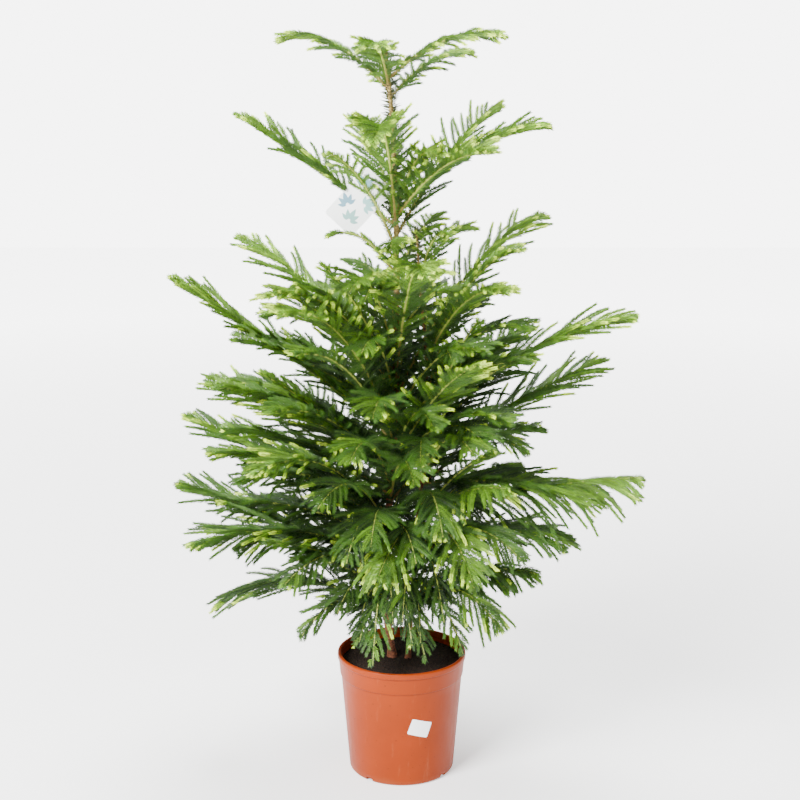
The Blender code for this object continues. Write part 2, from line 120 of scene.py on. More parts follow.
class Finish(Graph):
    # A material: constants go straight on the shader's sockets, and what varies is linked to them.

    def __init__(self, name, constants=None):
        self.material = bpy.data.materials.new(name)
        self.material.use_nodes = True
        super().__init__(self.material.node_tree)
        self.shader = self.tree.nodes["Principled BSDF"]
        for socket, value in (constants or {}).items():
            self.feed(self.shader.inputs[socket], value)

    def place(self):
        return self.node("ShaderNodeTexCoord", out=3)      # Object coordinates

    def grain(self, place, scale, detail=4.0, rough=0.55):
        return self.node("ShaderNodeTexNoise", {},
                         {"Vector": place, "Scale": scale, "Detail": detail, "Roughness": rough})

    def blend(self, factor, first, second):
        return self.node("ShaderNodeMix", {"data_type": "RGBA"}, {0: factor, 6: first, 7: second}, out=2)

    def ramp(self, value, *stops):
        return self.node("ShaderNodeValToRGB", {"stops": stops}, {"Fac": value})

    def between(self, value, low, high, start=0.0, end=1.0):
        return self.node("ShaderNodeMapRange", {}, {0: value, 1: low, 2: high, 3: start, 4: end})

    def bump(self, height, distance, strength=1.0):
        relief = self.node("ShaderNodeBump", {},
                           {"Height": height, "Distance": distance, "Strength": strength})
        self.feed(self.shader.inputs["Normal"], relief)

    def colour(self, value):
        self.feed(self.shader.inputs["Base Color"], value)

    def roughness(self, value):
        self.feed(self.shader.inputs["Roughness"], value)


class Shape(Graph):
    # A Geometry Nodes tree with named inputs, which turns a guide into a finished mesh.

    def __init__(self, name):
        tree = bpy.data.node_groups.new(name, "GeometryNodeTree")
        super().__init__(tree)
        self.entry = tree.nodes.new("NodeGroupInput")
        self.way = tree.nodes.new("NodeGroupOutput")
        self.guide = self.value("Guide", "Geometry")
        tree.interface.new_socket("Mesh", in_out="OUTPUT", socket_type="NodeSocketGeometry")

    def value(self, name, kind, start=None):
        item = self.tree.interface.new_socket(name, in_out="INPUT", socket_type="NodeSocket" + kind)
        if start is not None:
            item.default_value = start
        return Socket(self, self.entry.outputs[name])

    def attribute(self, name):
        return self.node("GeometryNodeInputNamedAttribute", {"data_type": "FLOAT"}, {"Name": name})

    def finish(self, mesh, finish):
        real = self.node("GeometryNodeRealizeInstances", {}, {"Geometry": mesh})
        dressed = self.node("GeometryNodeSetMaterial", {}, {"Geometry": real, "Material": finish})
        self.feed(self.way.inputs[0], dressed)

    def grow(self, name, guide, **values):
        # the finished mesh of the shape on this guide, which is used up
        holder = linked(name + "_guide", guide)
        modifier = holder.modifiers.new(name, "NODES")
        modifier.node_group = self.tree
        for item in self.tree.interface.items_tree:
            if item.in_out == "INPUT" and item.name in values:
                modifier[item.identifier] = values[item.name]
        mesh = plainMesh(holder)
        bpy.data.meshes.remove(guide)
        return mesh


def addPiece(name, mesh, stands, finish=None):
    mesh.name = name
    if finish is not None:
        mesh.materials.clear()
        mesh.materials.append(finish)
    piece = linked(name, mesh)
    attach(piece, "root")
    if stands:
        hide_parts(*stands)
    return piece


def meshFrom(name, verts, faces, angle=40):
    mesh = bpy.data.meshes.new(name)
    mesh.from_pydata([tuple(v) for v in verts], [], faces)
    mesh.shade_smooth()
    mesh.set_sharp_from_angle(angle=math.radians(angle))
    return mesh


def bandFaces(rings, count, first=0, closed=False):
    # quads between neighbouring rings of corners; closed also joins the last ring to the first
    faces = []
    for ring in range(rings if closed else rings - 1):
        low = first + ring * count
        high = first + (ring + 1) % rings * count
        for i in range(count):
            nxt = (i + 1) % count
            faces.append((low + i, low + nxt, high + nxt, high + i))
    return faces


def mix(ends, share):
    return ends[0] + (ends[1] - ends[0]) * share


def linear(colour):
    return tuple((c / 255 / 12.92) if c < 11 else ((c / 255 + 0.055) / 1.055) ** 2.4 for c in colour)


def linearStops(stops):
    return [(place, linear(colour)) for place, colour in stops]


# camera, light and floor
studio = {
    "cameraAt": (-0.003, -2.84, 1.39),
    "cameraTilt": 76.57,       # degrees; 90 looks level
    "lens": 72.7,
    "floorSize": 14.0,
    "paper": ((0.93, 0.93, 0.93), (0.96, 0.96, 0.955)),
    "floorGlow": 5.5, "nearGlow": 0.12, "glowReach": (0.8, 4.8),      # it whitens from the pot outwards
    "backdrop": 6.5,           # what the camera sees behind the floor
    "around": 0.42,            # light from all sides
    "lamps": {                 # place, the point that it faces, size in metres, watts
        "key": ((-1.9, -2.3, 2.6), (0, 0, 0.7), 1.6, 500.0),
        "fill": ((2.4, -1.8, 1.4), (0, 0, 0.7), 1.8, 14.0),
        "top": ((0.2, 0.6, 3.2), (0, 0, 0.8), 1.6, 230.0),
    },
}


def makeLight(name, place, aim, size, watts):
    lamp = bpy.data.lights.new(name, "AREA")
    lamp.size = size
    lamp.energy = watts
    item = linked(name, lamp)
    item.location = place
    item.rotation_euler = (Vector(aim) - Vector(place)).to_track_quat("-Z", "Y").to_euler()


def makeStudio():
    eye = bpy.data.cameras.new("camera")
    eye.sensor_width = 36.0
    eye.lens = studio["lens"]
    camera = linked("camera", eye)
    camera.location = studio["cameraAt"]
    camera.rotation_euler = (math.radians(studio["cameraTilt"]), 0.0, 0.0)
    bpy.context.scene.camera = camera

    half = studio["floorSize"] / 2
    corners = [(-half, -half, 0), (half, -half, 0), (half, half, 0), (-half, half, 0)]
    sheet = meshFrom("floor", corners, [(0, 1, 2, 3)])
    paper = Finish("floor_paper", {"Roughness": 0.9, "Emission Strength": studio["floorGlow"]})
    place = paper.place()
    paper.colour(paper.blend(paper.grain(place, 3.0), *studio["paper"]))
    away = paper.node("ShaderNodeVectorMath", {"operation": "LENGTH"}, {0: place}, out="Value")
    glow = paper.between(away, *studio["glowReach"], studio["nearGlow"], 1.0)
    paper.feed(paper.shader.inputs["Emission Color"], glow)
    sheet.materials.append(paper.material)
    floor = linked("floor", sheet)

    world = bpy.data.worlds.new("studio")
    world.use_nodes = True
    air = Graph(world.node_tree)
    seen = air.node("ShaderNodeLightPath")
    strength = studio["around"] + seen * (studio["backdrop"] - studio["around"])
    sky = world.node_tree.nodes["Background"]
    air.feed(sky.inputs["Color"], (1, 1, 1))
    air.feed(sky.inputs["Strength"], strength)
    bpy.context.scene.world = world
    for name, lamp in studio["lamps"].items():
        makeLight(name, *lamp)
    print("studio ready")


# the lines that the plant grows along, by the same rule and sizes as its solids
stems = {
    "trunk": {
        "line": ((0.2153, -0.018, 0.010), (0.35, -0.032, 0.010), (0.50, -0.024, 0.008), (0.62, -0.014, 0.004),
                 (0.94, -0.009, 0.0), (1.19, -0.0155, 0.0), (1.345, -0.030, 0.0)),     # height, x, y
        "foot": 0.0072, "tip": 0.0038, "flare": 0.0035},
    "second_stem": {
        "line": ((0.2153, 0.012, 0.002), (0.45, 0.028, 0.005), (0.60, 0.040, 0.008), (0.74, 0.047, 0.010),
                 (0.93, 0.032, 0.012), (1.02, 0.026, 0.014)),
        "foot": 0.0048, "tip": 0.0020, "flare": 0.0020},
}

# Whorls of boughs by their height on a stem. Nod is how far their twigs droop, lift how steeply the twigs
# leave the bough, and tone how light their green is; low whorls get darker tones as painted shade, where
# the crown above shades them. Each bough: compass angle, reach, rise of its tip, arch over the chord, share
# of its twigs with fresh ends. Those called side are on the second stem.
whorls = {
    "crown": dict(height=1.268, nod=0.35, lift=0.18, tone=0.48, boughs=(
        (40, 0.18, 0.074, 0.020, 0.7), (105, 0.15, 0.066, 0.020, 0.7), (170, 0.19, 0.082, 0.032, 0.7),
        (260, 0.17, 0.064, 0.026, 0.9), (340, 0.20, 0.080, 0.025, 0.7))),
    "upper": dict(height=1.034, nod=0.22, lift=0.38, tone=0.49, boughs=(
        (45, 0.265, 0.204, 0.030, 0.3), (105, 0.25, 0.175, 0.030, 0.3), (165, 0.29, 0.182, 0.004, 0.3),
        (262, 0.25, 0.150, 0.080, 0.9), (308, 0.245, 0.125, 0.030, 0.6), (345, 0.265, 0.165, 0.030, 0.5))),
    "short": dict(height=0.945, nod=0.35, lift=0.30, tone=0.50, boughs=(
        (60, 0.15, 0.095, 0.020, 0.5), (200, 0.12, 0.070, 0.030, 0.6), (265, 0.12, 0.045, 0.030, 0.8))),
    "middle": dict(height=0.740, nod=0.22, lift=0.14, tone=0.50, boughs=(
        (30, 0.31, 0.295, 0.062, 0.4), (95, 0.33, 0.165, 0.040, 0.3), (150, 0.33, 0.240, 0.035, 0.3),
        (225, 0.29, 0.190, 0.055, 0.9), (280, 0.27, 0.225, 0.080, 0.95))),
    "wide": dict(height=0.655, nod=0.12, lift=0.18, tone=0.46, boughs=(
        (190, 0.391, 0.286, 0.012, 0.2), (235, 0.31, 0.255, 0.070, 0.7))),
    "spread": dict(height=0.580, nod=0.12, lift=0.12, tone=0.42, boughs=(
        (18, 0.415, 0.190, 0.015, 0.2), (70, 0.34, 0.170, 0.030, 0.2), (155, 0.378, 0.134, 0.010, 0.2),
        (215, 0.255, 0.135, 0.020, 0.3), (300, 0.27, 0.230, 0.030, 0.95))),
    "broad": dict(height=0.470, nod=0.15, lift=0.14, tone=0.36, boughs=(
        (165, 0.387, 0.188, 0.016, 0.2), (195, 0.32, 0.160, 0.045, 0.2), (228, 0.32, 0.160, 0.065, 0.8))),
    "low": dict(height=0.400, nod=0.15, lift=0.15, tone=0.32, boughs=(
        (175, 0.380, 0.142, 0.010, 0.1), (205, 0.365, 0.076, 0.045, 0.4))),
    "skirt": dict(height=0.300, nod=0.25, lift=0.10, tone=0.26, boughs=(
        (165, 0.335, -0.010, 0.065, 0.1), (212, 0.175, -0.010, 0.050, 0.1), (250, 0.13, -0.015, 0.040, 0.1))),
    "side_tip": dict(height=0.930, nod=0.30, lift=0.30, tone=0.52, boughs=(
        (40, 0.12, 0.085, 0.030, 0.6), (300, 0.09, 0.085, 0.030, 0.8))),
    "side_upper": dict(height=0.790, nod=0.30, lift=0.30, tone=0.48, boughs=(
        (300, 0.25, 0.155, 0.045, 0.8), (335, 0.18, 0.200, 0.045, 0.6))),
    "side_middle": dict(height=0.670, nod=0.20, lift=0.20, tone=0.44, boughs=(
        (35, 0.23, 0.150, 0.030, 0.2), (345, 0.37, 0.208, 0.032, 0.3))),
    "side_broad": dict(height=0.485, nod=0.70, lift=0.05, tone=0.42, boughs=(
        (35, 0.24, 0.080, 0.030, 0.1), (254, 0.25, -0.020, 0.020, 0.3), (308, 0.235, 0.110, 0.020, 0.4),
        (350, 0.4005, 0.090, 0.012, 0.2))),
    "side_low": dict(height=0.400, nod=0.30, lift=0.15, tone=0.38, boughs=(
        (11, 0.30, 0.036, 0.045, 0.1), (95, 0.366, 0.060, 0.040, 0.1), (290, 0.28, 0.040, 0.080, 0.3))),
    "side_skirt": dict(height=0.310, nod=0.55, lift=0.10, tone=0.34, boughs=(
        (311, 0.23, 0.032, 0.060, 0.3), (330, 0.25, 0.110, 0.035, 0.2))),
}
# finer boughs that fill the crown between those, inside their reach; each stands for the mass beside it
# mostly darker tones than the outer whorls, as painted shade inside the crown
innerWhorls = {
    "upper_4": dict(height=1.030, nod=0.28, lift=0.25, tone=0.56, boughs=(
        (232, 0.17, 0.172, 0.030, 0.8), (293, 0.18, 0.104, 0.045, 0.8))),
    "short_3": dict(height=0.850, nod=0.25, lift=0.20, tone=0.40, boughs=(
        (75, 0.19, 0.10, 0.03, 0.1), (130, 0.13, 0.07, 0.03, 0.1), (250, 0.15, 0.07, 0.05, 0.6),
        (320, 0.14, 0.09, 0.04, 0.5))),
    "middle_3": dict(height=0.740, nod=0.30, lift=0.30, tone=0.42, boughs=(
        (123, 0.25, 0.187, 0.04, 0.4), (176, 0.18, 0.15, 0.04, 0.3), (225, 0.17, 0.236, 0.03, 0.7),
        (78, 0.26, 0.20, 0.04, 0.2), (252, 0.24, 0.17, 0.07, 0.8))),
    "middle_4": dict(height=0.698, nod=0.22, lift=0.20, tone=0.34, boughs=(
        (8, 0.19, 0.14, 0.03, 0.1), (52, 0.26, 0.15, 0.04, 0.1), (120, 0.28, 0.16, 0.03, 0.1),
        (172, 0.22, 0.15, 0.03, 0.1), (208, 0.25, 0.15, 0.05, 0.2), (255, 0.21, 0.13, 0.06, 0.5),
        (310, 0.23, 0.15, 0.05, 0.4))),
    "wide_2": dict(height=0.630, nod=0.20, lift=0.20, tone=0.34, boughs=(
        (45, 0.28, 0.15, 0.03, 0.1), (100, 0.28, 0.14, 0.03, 0.1), (138, 0.30, 0.15, 0.03, 0.1),
        (178, 0.29, 0.14, 0.03, 0.1), (206, 0.30, 0.18, 0.03, 0.1), (236, 0.28, 0.20, 0.05, 0.5),
        (262, 0.24, 0.12, 0.06, 0.4), (288, 0.22, 0.12, 0.06, 0.4), (332, 0.26, 0.15, 0.04, 0.2))),
    "spread_3": dict(height=0.598, nod=0.15, lift=0.15, tone=0.40, boughs=(
        (217, 0.27, 0.236, 0.02, 0.2),)),
    "low_1": dict(height=0.398, nod=0.20, lift=0.10, tone=0.32, boughs=(
        (221, 0.26, 0.136, 0.02, 0.1),)),
    "skirt_1": dict(height=0.383, nod=0.25, lift=0.10, tone=0.30, boughs=(
        (223, 0.20, 0.108, 0.02, 0.1),)),
    "side_broad_4": dict(height=0.528, nod=0.20, lift=0.20, tone=0.40, boughs=(
        (311, 0.19, 0.160, 0.02, 0.3), (343, 0.33, -0.010, 0.020, 0.2))),
    "side_upper_2": dict(height=0.693, nod=0.20, lift=0.20, tone=0.44, boughs=(
        (300, 0.17, 0.232, 0.02, 0.5),)),
    "spread_4": dict(height=0.560, nod=0.20, lift=0.20, tone=0.32, boughs=(
        (40, 0.29, 0.10, 0.03, 0.1), (95, 0.30, 0.10, 0.03, 0.1), (130, 0.31, 0.11, 0.03, 0.1),
        (180, 0.30, 0.12, 0.03, 0.1), (200, 0.32, 0.16, 0.03, 0.1), (228, 0.29, 0.17, 0.04, 0.4),
        (254, 0.24, 0.11, 0.06, 0.4), (280, 0.24, 0.10, 0.06, 0.4), (322, 0.25, 0.12, 0.05, 0.2))),
    "broad_2": dict(height=0.462, nod=0.30, lift=0.15, tone=0.28, boughs=(
        (80, 0.28, 0.06, 0.04, 0.1), (125, 0.30, 0.08, 0.03, 0.1), (150, 0.30, 0.08, 0.03, 0.1),
        (182, 0.30, 0.08, 0.03, 0.1), (212, 0.30, 0.10, 0.04, 0.1), (243, 0.25, 0.10, 0.06, 0.3),
        (264, 0.23, 0.06, 0.06, 0.3), (284, 0.22, 0.05, 0.06, 0.2))),
    "low_2": dict(height=0.400, nod=0.35, lift=0.10, tone=0.26, boughs=(
        (110, 0.26, 0.04, 0.04, 0.0), (150, 0.28, 0.06, 0.03, 0.0), (196, 0.27, 0.05, 0.04, 0.0),
        (228, 0.25, 0.05, 0.05, 0.1), (252, 0.21, 0.03, 0.07, 0.2), (272, 0.20, 0.02, 0.07, 0.2))),
    "skirt_2": dict(height=0.340, nod=0.38, lift=0.05, tone=0.24, boughs=(
        (110, 0.22, 0.01, 0.05, 0.0), (145, 0.20, 0.02, 0.05, 0.0), (232, 0.13, 0.0, 0.05, 0.1),
        (262, 0.15, -0.055, 0.07, 0.2), (276, 0.15, -0.04, 0.07, 0.2), (289, 0.15, -0.06, 0.07, 0.2),
        (246, 0.12, -0.045, 0.06, 0.1), (302, 0.13, -0.05, 0.06, 0.1))),
    "side_upper_1": dict(height=0.745, nod=0.22, lift=0.20, tone=0.34, boughs=(
        (10, 0.18, 0.11, 0.03, 0.1), (61, 0.20, 0.09, 0.03, 0.1), (322, 0.22, 0.12, 0.04, 0.4),
        (282, 0.18, 0.10, 0.05, 0.3), (90, 0.20, 0.12, 0.03, 0.1))),
    "side_middle_2": dict(height=0.590, nod=0.25, lift=0.20, tone=0.32, boughs=(
        (4, 0.22, 0.10, 0.03, 0.1), (40, 0.26, 0.14, 0.03, 0.0), (76, 0.26, 0.10, 0.03, 0.0),
        (292, 0.22, 0.10, 0.05, 0.3), (301, 0.21, 0.034, 0.04, 0.3), (326, 0.21, 0.040, 0.04, 0.3),
        (268, 0.20, 0.07, 0.05, 0.3))),
    "side_broad_3": dict(height=0.455, nod=0.50, lift=0.10, tone=0.30, boughs=(
        (338, 0.28, 0.05, 0.04, 0.1), (22, 0.26, 0.05, 0.04, 0.0), (62, 0.26, 0.04, 0.04, 0.0),
        (315, 0.25, 0.04, 0.05, 0.2), (280, 0.22, 0.03, 0.06, 0.2))),
    "side_skirt_1": dict(height=0.360, nod=0.36, lift=0.05, tone=0.28, boughs=(
        (0, 0.19, 0.03, 0.05, 0.1), (45, 0.22, 0.02, 0.05, 0.0), (318, 0.16, 0.02, 0.06, 0.2),
        (343, 0.18, 0.03, 0.05, 0.1), (288, 0.16, -0.055, 0.07, 0.2), (262, 0.15, -0.03, 0.06, 0.1),
        (276, 0.12, -0.055, 0.06, 0.1), (306, 0.15, -0.05, 0.06, 0.1))),
}
# how far a bough's tip stands over its chord's end, to the second power along the bough
tipLift = {"crown_3": -0.004, "crown_5": -0.010, "upper_1": 0.006, "upper_3": 0.006, "upper_6": -0.016,
           "middle_1": 0.010, "middle_3": 0.008, "wide_1": 0.008, "spread_1": 0.006, "spread_3": 0.006,
           "broad_1": 0.006, "low_1": 0.004, "side_middle_2": -0.003, "side_broad_4": -0.002}
growth = {
    "stagger": 0.008,          # height from one bough of a whorl to the next
    "innerStagger": 0.0128,    # the same for the finer boughs, in a shuffled order
    "flareHeight": 0.010,
    "boughRoot": 0.0026, "boughTip": 0.0009,    # a bough's radius at its two ends
    "rootShare": 0.75,         # and the most that the first may be, beside the stem's
}


def heading(angle):
    turn = math.radians(angle)
    return Vector((math.cos(turn), math.sin(turn), 0.0))


class StemLine:
    def __init__(self, stem):
        self.stem = stem
        self.bottom = stem["line"][0][0]
        self.top = stem["line"][-1][0]

    def point(self, height):
        line = self.stem["line"]
        index = 0
        while index < len(line) - 2 and height > line[index + 1][0]:
            index += 1
        before = Vector(line[max(index - 1, 0)])
        start = Vector(line[index])
        end = Vector(line[index + 1])
        after = Vector(line[min(index + 2, len(line) - 1)])
        span = end[0] - start[0]
        t = (height - start[0]) / span
        slopeIn = (end - before) * (span / (end[0] - before[0]))
        slopeOut = (after - start) * (span / (after[0] - start[0]))
        place = start * (2 * t**3 - 3 * t**2 + 1) + slopeIn * (t**3 - 2 * t**2 + t)
        place += end * (3 * t**2 - 2 * t**3) + slopeOut * (t**3 - t**2)
        return Vector((place[1], place[2], height))

    def radius(self, height):
        share = (height - self.bottom) / (self.top - self.bottom)
        plain = self.stem["foot"] + (self.stem["tip"] - self.stem["foot"]) * share
        return plain + self.stem["flare"] * math.exp((self.bottom - height) / growth["flareHeight"])

    def along(self, height):
        return (self.point(height + 0.002) - self.point(height - 0.002)).normalized()


class BoughLine:
    # one bough's path, from the stem's bark out to its tip

    def __init__(self, name, node, stem, height, whorl, bough):
        self.name = name
        self.node = node
        self.lift = tipLift.get(name, 0.0)
        angle, self.reach, self.rise, self.arch, self.fresh = bough
        self.nod = whorl["nod"]
        self.twigLift = whorl["lift"]
        self.tone = whorl["tone"]
        self.level = heading(angle)
        along = stem.along(height)
        out = (self.level - along * self.level.dot(along)).normalized()
        self.sunk = stem.radius(height)
        self.foot = stem.point(height) + out * self.sunk
        self.thick = min(growth["boughRoot"], growth["rootShare"] * self.sunk)

    def point(self, t):
        lift = self.rise * t + 4.0 * self.arch * t * (1.0 - t) + self.lift * t * t
        return self.foot + self.level * (self.reach * t) + up * lift

    def along(self, t):
        return (self.point(t + 0.01) - self.point(t - 0.01)).normalized()

    def radius(self, t):
        return mix((self.thick, min(growth["boughTip"], self.thick)), t)


def stemOf(whorlName):
    return "second_stem" if whorlName.startswith("side_") else "trunk"


def layOutBoughs():
    lines = {name: StemLine(stem) for name, stem in stems.items()}
    boughs = []
    for whorlName, whorl in whorls.items():
        middle = (len(whorl["boughs"]) - 1) / 2
        for index, bough in enumerate(whorl["boughs"]):
            height = whorl["height"] + growth["stagger"] * (index - middle)
            name = f"{whorlName}_{index + 1}"
            boughs.append(BoughLine(name, name, lines[stemOf(name)], height, whorl, bough))
    for node, whorl in innerWhorls.items():
        for index, bough in enumerate(whorl["boughs"]):
            height = whorl["height"] + growth["innerStagger"] * ((index * 5) % 7 - 3)
            name = f"{node}_inner_{index + 1}"
            boughs.append(BoughLine(name, node, lines[stemOf(name)], height, whorl, bough))
    return lines, boughs


strandValues = ("thick", "size", "splay", "age")


def strandOf(node, points, **values):
    # a path, with its thickness, needle length, needle splay and age at each point
    strand = {"node": node, "points": points}
    for key in strandValues:
        strand[key] = values.get(key, [0.0] * len(points))
    return strand


def strandMesh(name, strands):
    verts, edges = [], []
    values = {key: [] for key in strandValues}
    for strand in strands:
        first = len(verts)
        verts += [tuple(p) for p in strand["points"]]
        edges += [(i, i + 1) for i in range(first, len(verts) - 1)]
        for key, column in values.items():
            column += strand[key]
    mesh = bpy.data.meshes.new(name)
    mesh.from_pydata(verts, edges, [])
    for key, column in values.items():
        mesh.attributes.new(key, "FLOAT", "POINT").data.foreach_set("value", column)
    return mesh


def needleShape():
    shape = Shape("needles_on_strands")
    spacing = shape.value("Spacing", "Float", 0.0007)
    width = shape.value("Width", "Float", 0.0012)
    keel = shape.value("Keel", "Float", 0.0006)
    turn = shape.value("Turn", "Float", 137.5)
    loose = shape.value("Loose", "Float", 0.15)
    widest = shape.value("Widest", "Float", 0.4)
    bend = shape.value("Bend", "Float", 0.8)         # in half widths of the needle
    seed = shape.value("Seed", "Int", 1)
    finish = shape.value("Finish", "Material")
    curve = shape.node("GeometryNodeMeshToCurve", {}, {"Mesh": shape.guide})
    even = shape.node("GeometryNodeResampleCurve", {"mode": "LENGTH"}, {"Curve": curve, "Length": spacing})
    points = shape.node("GeometryNodeCurveToPoints", {"mode": "EVALUATED"}, {"Curve": even})
    facing = Socket(shape, points.output.node.outputs["Rotation"])
    index = shape.node("GeometryNodeInputIndex")
    spin = shape.node("FunctionNodeAxisAngleToRotation", {},
                      {"Axis": (0, 0, 1), "Angle": index * turn * (math.pi / 180)})
    wobble = shape.node("FunctionNodeRandomValue", {"data_type": "FLOAT"},
                        {2: -1.0, 3: 1.0, "ID": index, "Seed": seed}, out=1)
    stretch = shape.node("FunctionNodeRandomValue", {"data_type": "FLOAT"},
                         {2: 0.8, 3: 1.15, "ID": index, "Seed": seed + 1}, out=1)
    lean = shape.node("FunctionNodeAxisAngleToRotation", {},
                      {"Axis": (1, 0, 0), "Angle": shape.attribute("splay") + wobble * loose})
    turned = shape.node("FunctionNodeRotateRotation", {"rotation_space": "LOCAL"}, {0: facing, 1: spin})
    leant = shape.node("FunctionNodeRotateRotation", {"rotation_space": "LOCAL"}, {0: turned, 1: lean})
    length = shape.attribute("size") * stretch
    scale = shape.node("ShaderNodeCombineXYZ", {}, {0: keel, 1: width, 2: length})
    # a needle of two faces: a cone of three sides, opened into a keeled blade that bows to the twig's tip
    cone = shape.node("GeometryNodeMeshCone", {"fill_type": "NONE"},
                      {"Vertices": 3, "Side Segments": 1, "Radius Top": 0.0, "Radius Bottom": 1.0,
                       "Depth": 1.0})
    corner = shape.node("GeometryNodeInputPosition")
    x, y, z = (shape.node("ShaderNodeSeparateXYZ", {}, {0: corner}, out=axis) for axis in range(3))
    onSide = shape.maths("LESS_THAN", x, -0.1)
    level = z + onSide * widest
    blade = shape.node("ShaderNodeCombineXYZ", {}, {0: onSide * -1.0, 1: y + level * level * bend, 2: level})
    bent = shape.node("GeometryNodeSetPosition", {}, {"Geometry": cone, "Position": blade})
    folded = shape.node("GeometryNodeDeleteGeometry", {"domain": "FACE"},
                        {"Geometry": bent, "Selection": shape.maths("LESS_THAN", x, -0.5)})
    many = shape.node("GeometryNodeInstanceOnPoints", {},
                      {"Points": points, "Instance": folded, "Rotation": leant, "Scale": scale})
    shape.finish(many, finish)
    return shape


def woodShape():
    shape = Shape("wood_along_strands")
    sides = shape.value("Sides", "Int", 5)
    step = shape.value("Step", "Float", 0.006)
    relief = shape.value("Relief", "Float", 0.0003)
    knots = shape.value("Knots per metre", "Float", 200.0)
    finish = shape.value("Finish", "Material")
    curve = shape.node("GeometryNodeMeshToCurve", {}, {"Mesh": shape.guide})
    even = shape.node("GeometryNodeResampleCurve", {"mode": "LENGTH"}, {"Curve": curve, "Length": step})
    ring = shape.node("GeometryNodeCurvePrimitiveCircle", {}, {"Resolution": sides, "Radius": 1.0})
    tube = shape.node("GeometryNodeCurveToMesh", {},
                      {"Curve": even, "Profile Curve": ring, "Scale": shape.attribute("thick"),
                       "Fill Caps": True})
    rough = shape.node("ShaderNodeTexNoise", {}, {"Scale": knots, "Detail": 3.0})
    out = shape.node("GeometryNodeInputNormal") * ((rough - 0.5) * relief)
    raised = shape.node("GeometryNodeSetPosition", {}, {"Geometry": tube, "Offset": out})
    soft = shape.node("GeometryNodeSetShadeSmooth", {}, {"Geometry": raised})
    shape.finish(soft, finish)
    return shape


foliage = {
    "spacing": 0.0110, "innerSpacing": 0.0130,      # from one twig to the next in a row
    "rowStagger": 0.4,          # of that spacing, between the two rows of a bough
    "first": 0.07, "last": 0.965,       # where the twigs start and end, as shares of the bough
    "longest": 0.30, "limits": (0.052, 0.108),      # a twig's length: share of the bough's reach, and limits
    "swell": (0.22, 0.86), "swellPower": 0.9,       # the part of a sine wave that the lengths follow
    "tipShare": 0.72, "pastTip": 0.004,     # how near the twigs at a bough's end come to its tip
    "spread": (58, 32),         # degrees between bough and twig, at its foot and its tip
    "clearing": (-0.070, 1.042, 0.040),     # x, height and reach of the room in front of the card
    "innerFresh": 0.45,         # fresh ends on a finer bough, for each one on its neighbour
    "freshStart": 0.35,         # the chance of a fresh end grows from this share
    # painted shade and light: twigs are darker near a bough's foot, where the crown shades it, and lighter
    # towards its tip
    "tipTone": 0.30,            # lighter from a bough's foot to its tip
    "points": 7, "budPoints": 3,        # points on a twig's path, and on its pale end
    "twigThick": 0.0019, "twigTip": 0.7,        # radius at the root, and the share left at the tip
    "needle": (0.0088, 0.0092, 0.0072),     # needle length at a twig's root, middle and end
    "splay": (51, 43, 27),      # degrees between needle and twig, at the same places
    "boughNeedle": (0.0105, 0.006825), "boughSplay": (62, 34),      # the same on a bough, at foot and tip
    "boughStep": 0.02, "sunk": 0.7,     # a bough starts this share of the stem's radius inside it
    "needleSpacing": {"shade": 0.00068, "old": 0.00062, "leaf": 0.00055, "light": 0.00052, "fresh": 0.00045},
    "needleWidth": 0.00112,     # half of it, at its widest
    "mostNeedles": 95000,       # in one piece
    "mostTwig": 90.0,           # metres in one piece
    "twigColours": ((44, 70, 22), (86, 116, 40)),
}
# what varies at random from twig to twig
jitter = {"place": 0.15, "spread": 7, "lift": 0.22, "length": (0.8, 1.08), "nod": (0.6, 1.3),
          "curl": (0.06, 0.28), "roll": 0.05, "tone": 0.11}

# the kinds from shade to light are darker and lighter copies of one green: painted shade and light, dealt to
# twigs by where they sit and partly at random; fresh is the paler new growth at twig ends
tones = {      # sRGB of each kind of spray
    "shade": (34, 58, 22), "old": (60, 92, 34), "leaf": (92, 126, 46), "light": (126, 160, 62),
    "fresh": (200, 234, 104),
}
toneTops = (("shade", 0.30), ("old", 0.45), ("leaf", 0.62))       # lighter twigs than the last are light
needleLook = {"saturation": 1.12, "dark": 0.60, "pale": 1.42, "cloud": 45.0, "gloss": 60.0,
              "roughness": (0.34, 0.52)}


def deep(colour):
    # a little more saturated than it shows, because bright light pales it
    red, green, blue = linear(colour)
    grey = 0.3 * red + 0.6 * green + 0.1 * blue
    return tuple(max(0.002, grey + (c - grey) * needleLook["saturation"]) for c in (red, green, blue))


def needleFinish(name, colour):
    base = deep(colour)
    finish = Finish("needles_" + name)
    place = finish.place()
    cloud = finish.grain(place, needleLook["cloud"], 2.0)
    dark = tuple(needleLook["dark"] * c for c in base)
    pale = tuple(min(1.0, needleLook["pale"] * c) for c in base)
    finish.colour(finish.blend(finish.between(cloud, 0.35, 0.65), dark, pale))
    shine = finish.grain(place, needleLook["gloss"], 2.0)
    finish.roughness(finish.between(shine, 0.3, 0.7, *needleLook["roughness"]))
    return finish.material


def at(values, share):
    low, middle, high = values
    if share < 0.5:
        return mix((low, middle), share * 2)
    return mix((middle, high), share * 2 - 1)


def twigLength(reach, t):
    least, most = foliage["limits"]
    longest = min(max(foliage["longest"] * reach, least), most)
    return longest * math.sin(math.pi * mix(foliage["swell"], t)) ** foliage["swellPower"]


def growTwig(line, root, direction, length, nod, curl):
    shares = [i / (foliage["points"] - 1) for i in range(foliage["points"])]
    path = [root + direction * (length * s) - up * (nod * length * s * s) + curl * (length * s * s)
            for s in shares]
    return strandOf(
        line.node, path,
        thick=[foliage["twigThick"] * mix((1.0, foliage["twigTip"]), s) for s in shares],
        size=[at(foliage["needle"], s) for s in shares],
        splay=[math.radians(at(foliage["splay"], s)) for s in shares])


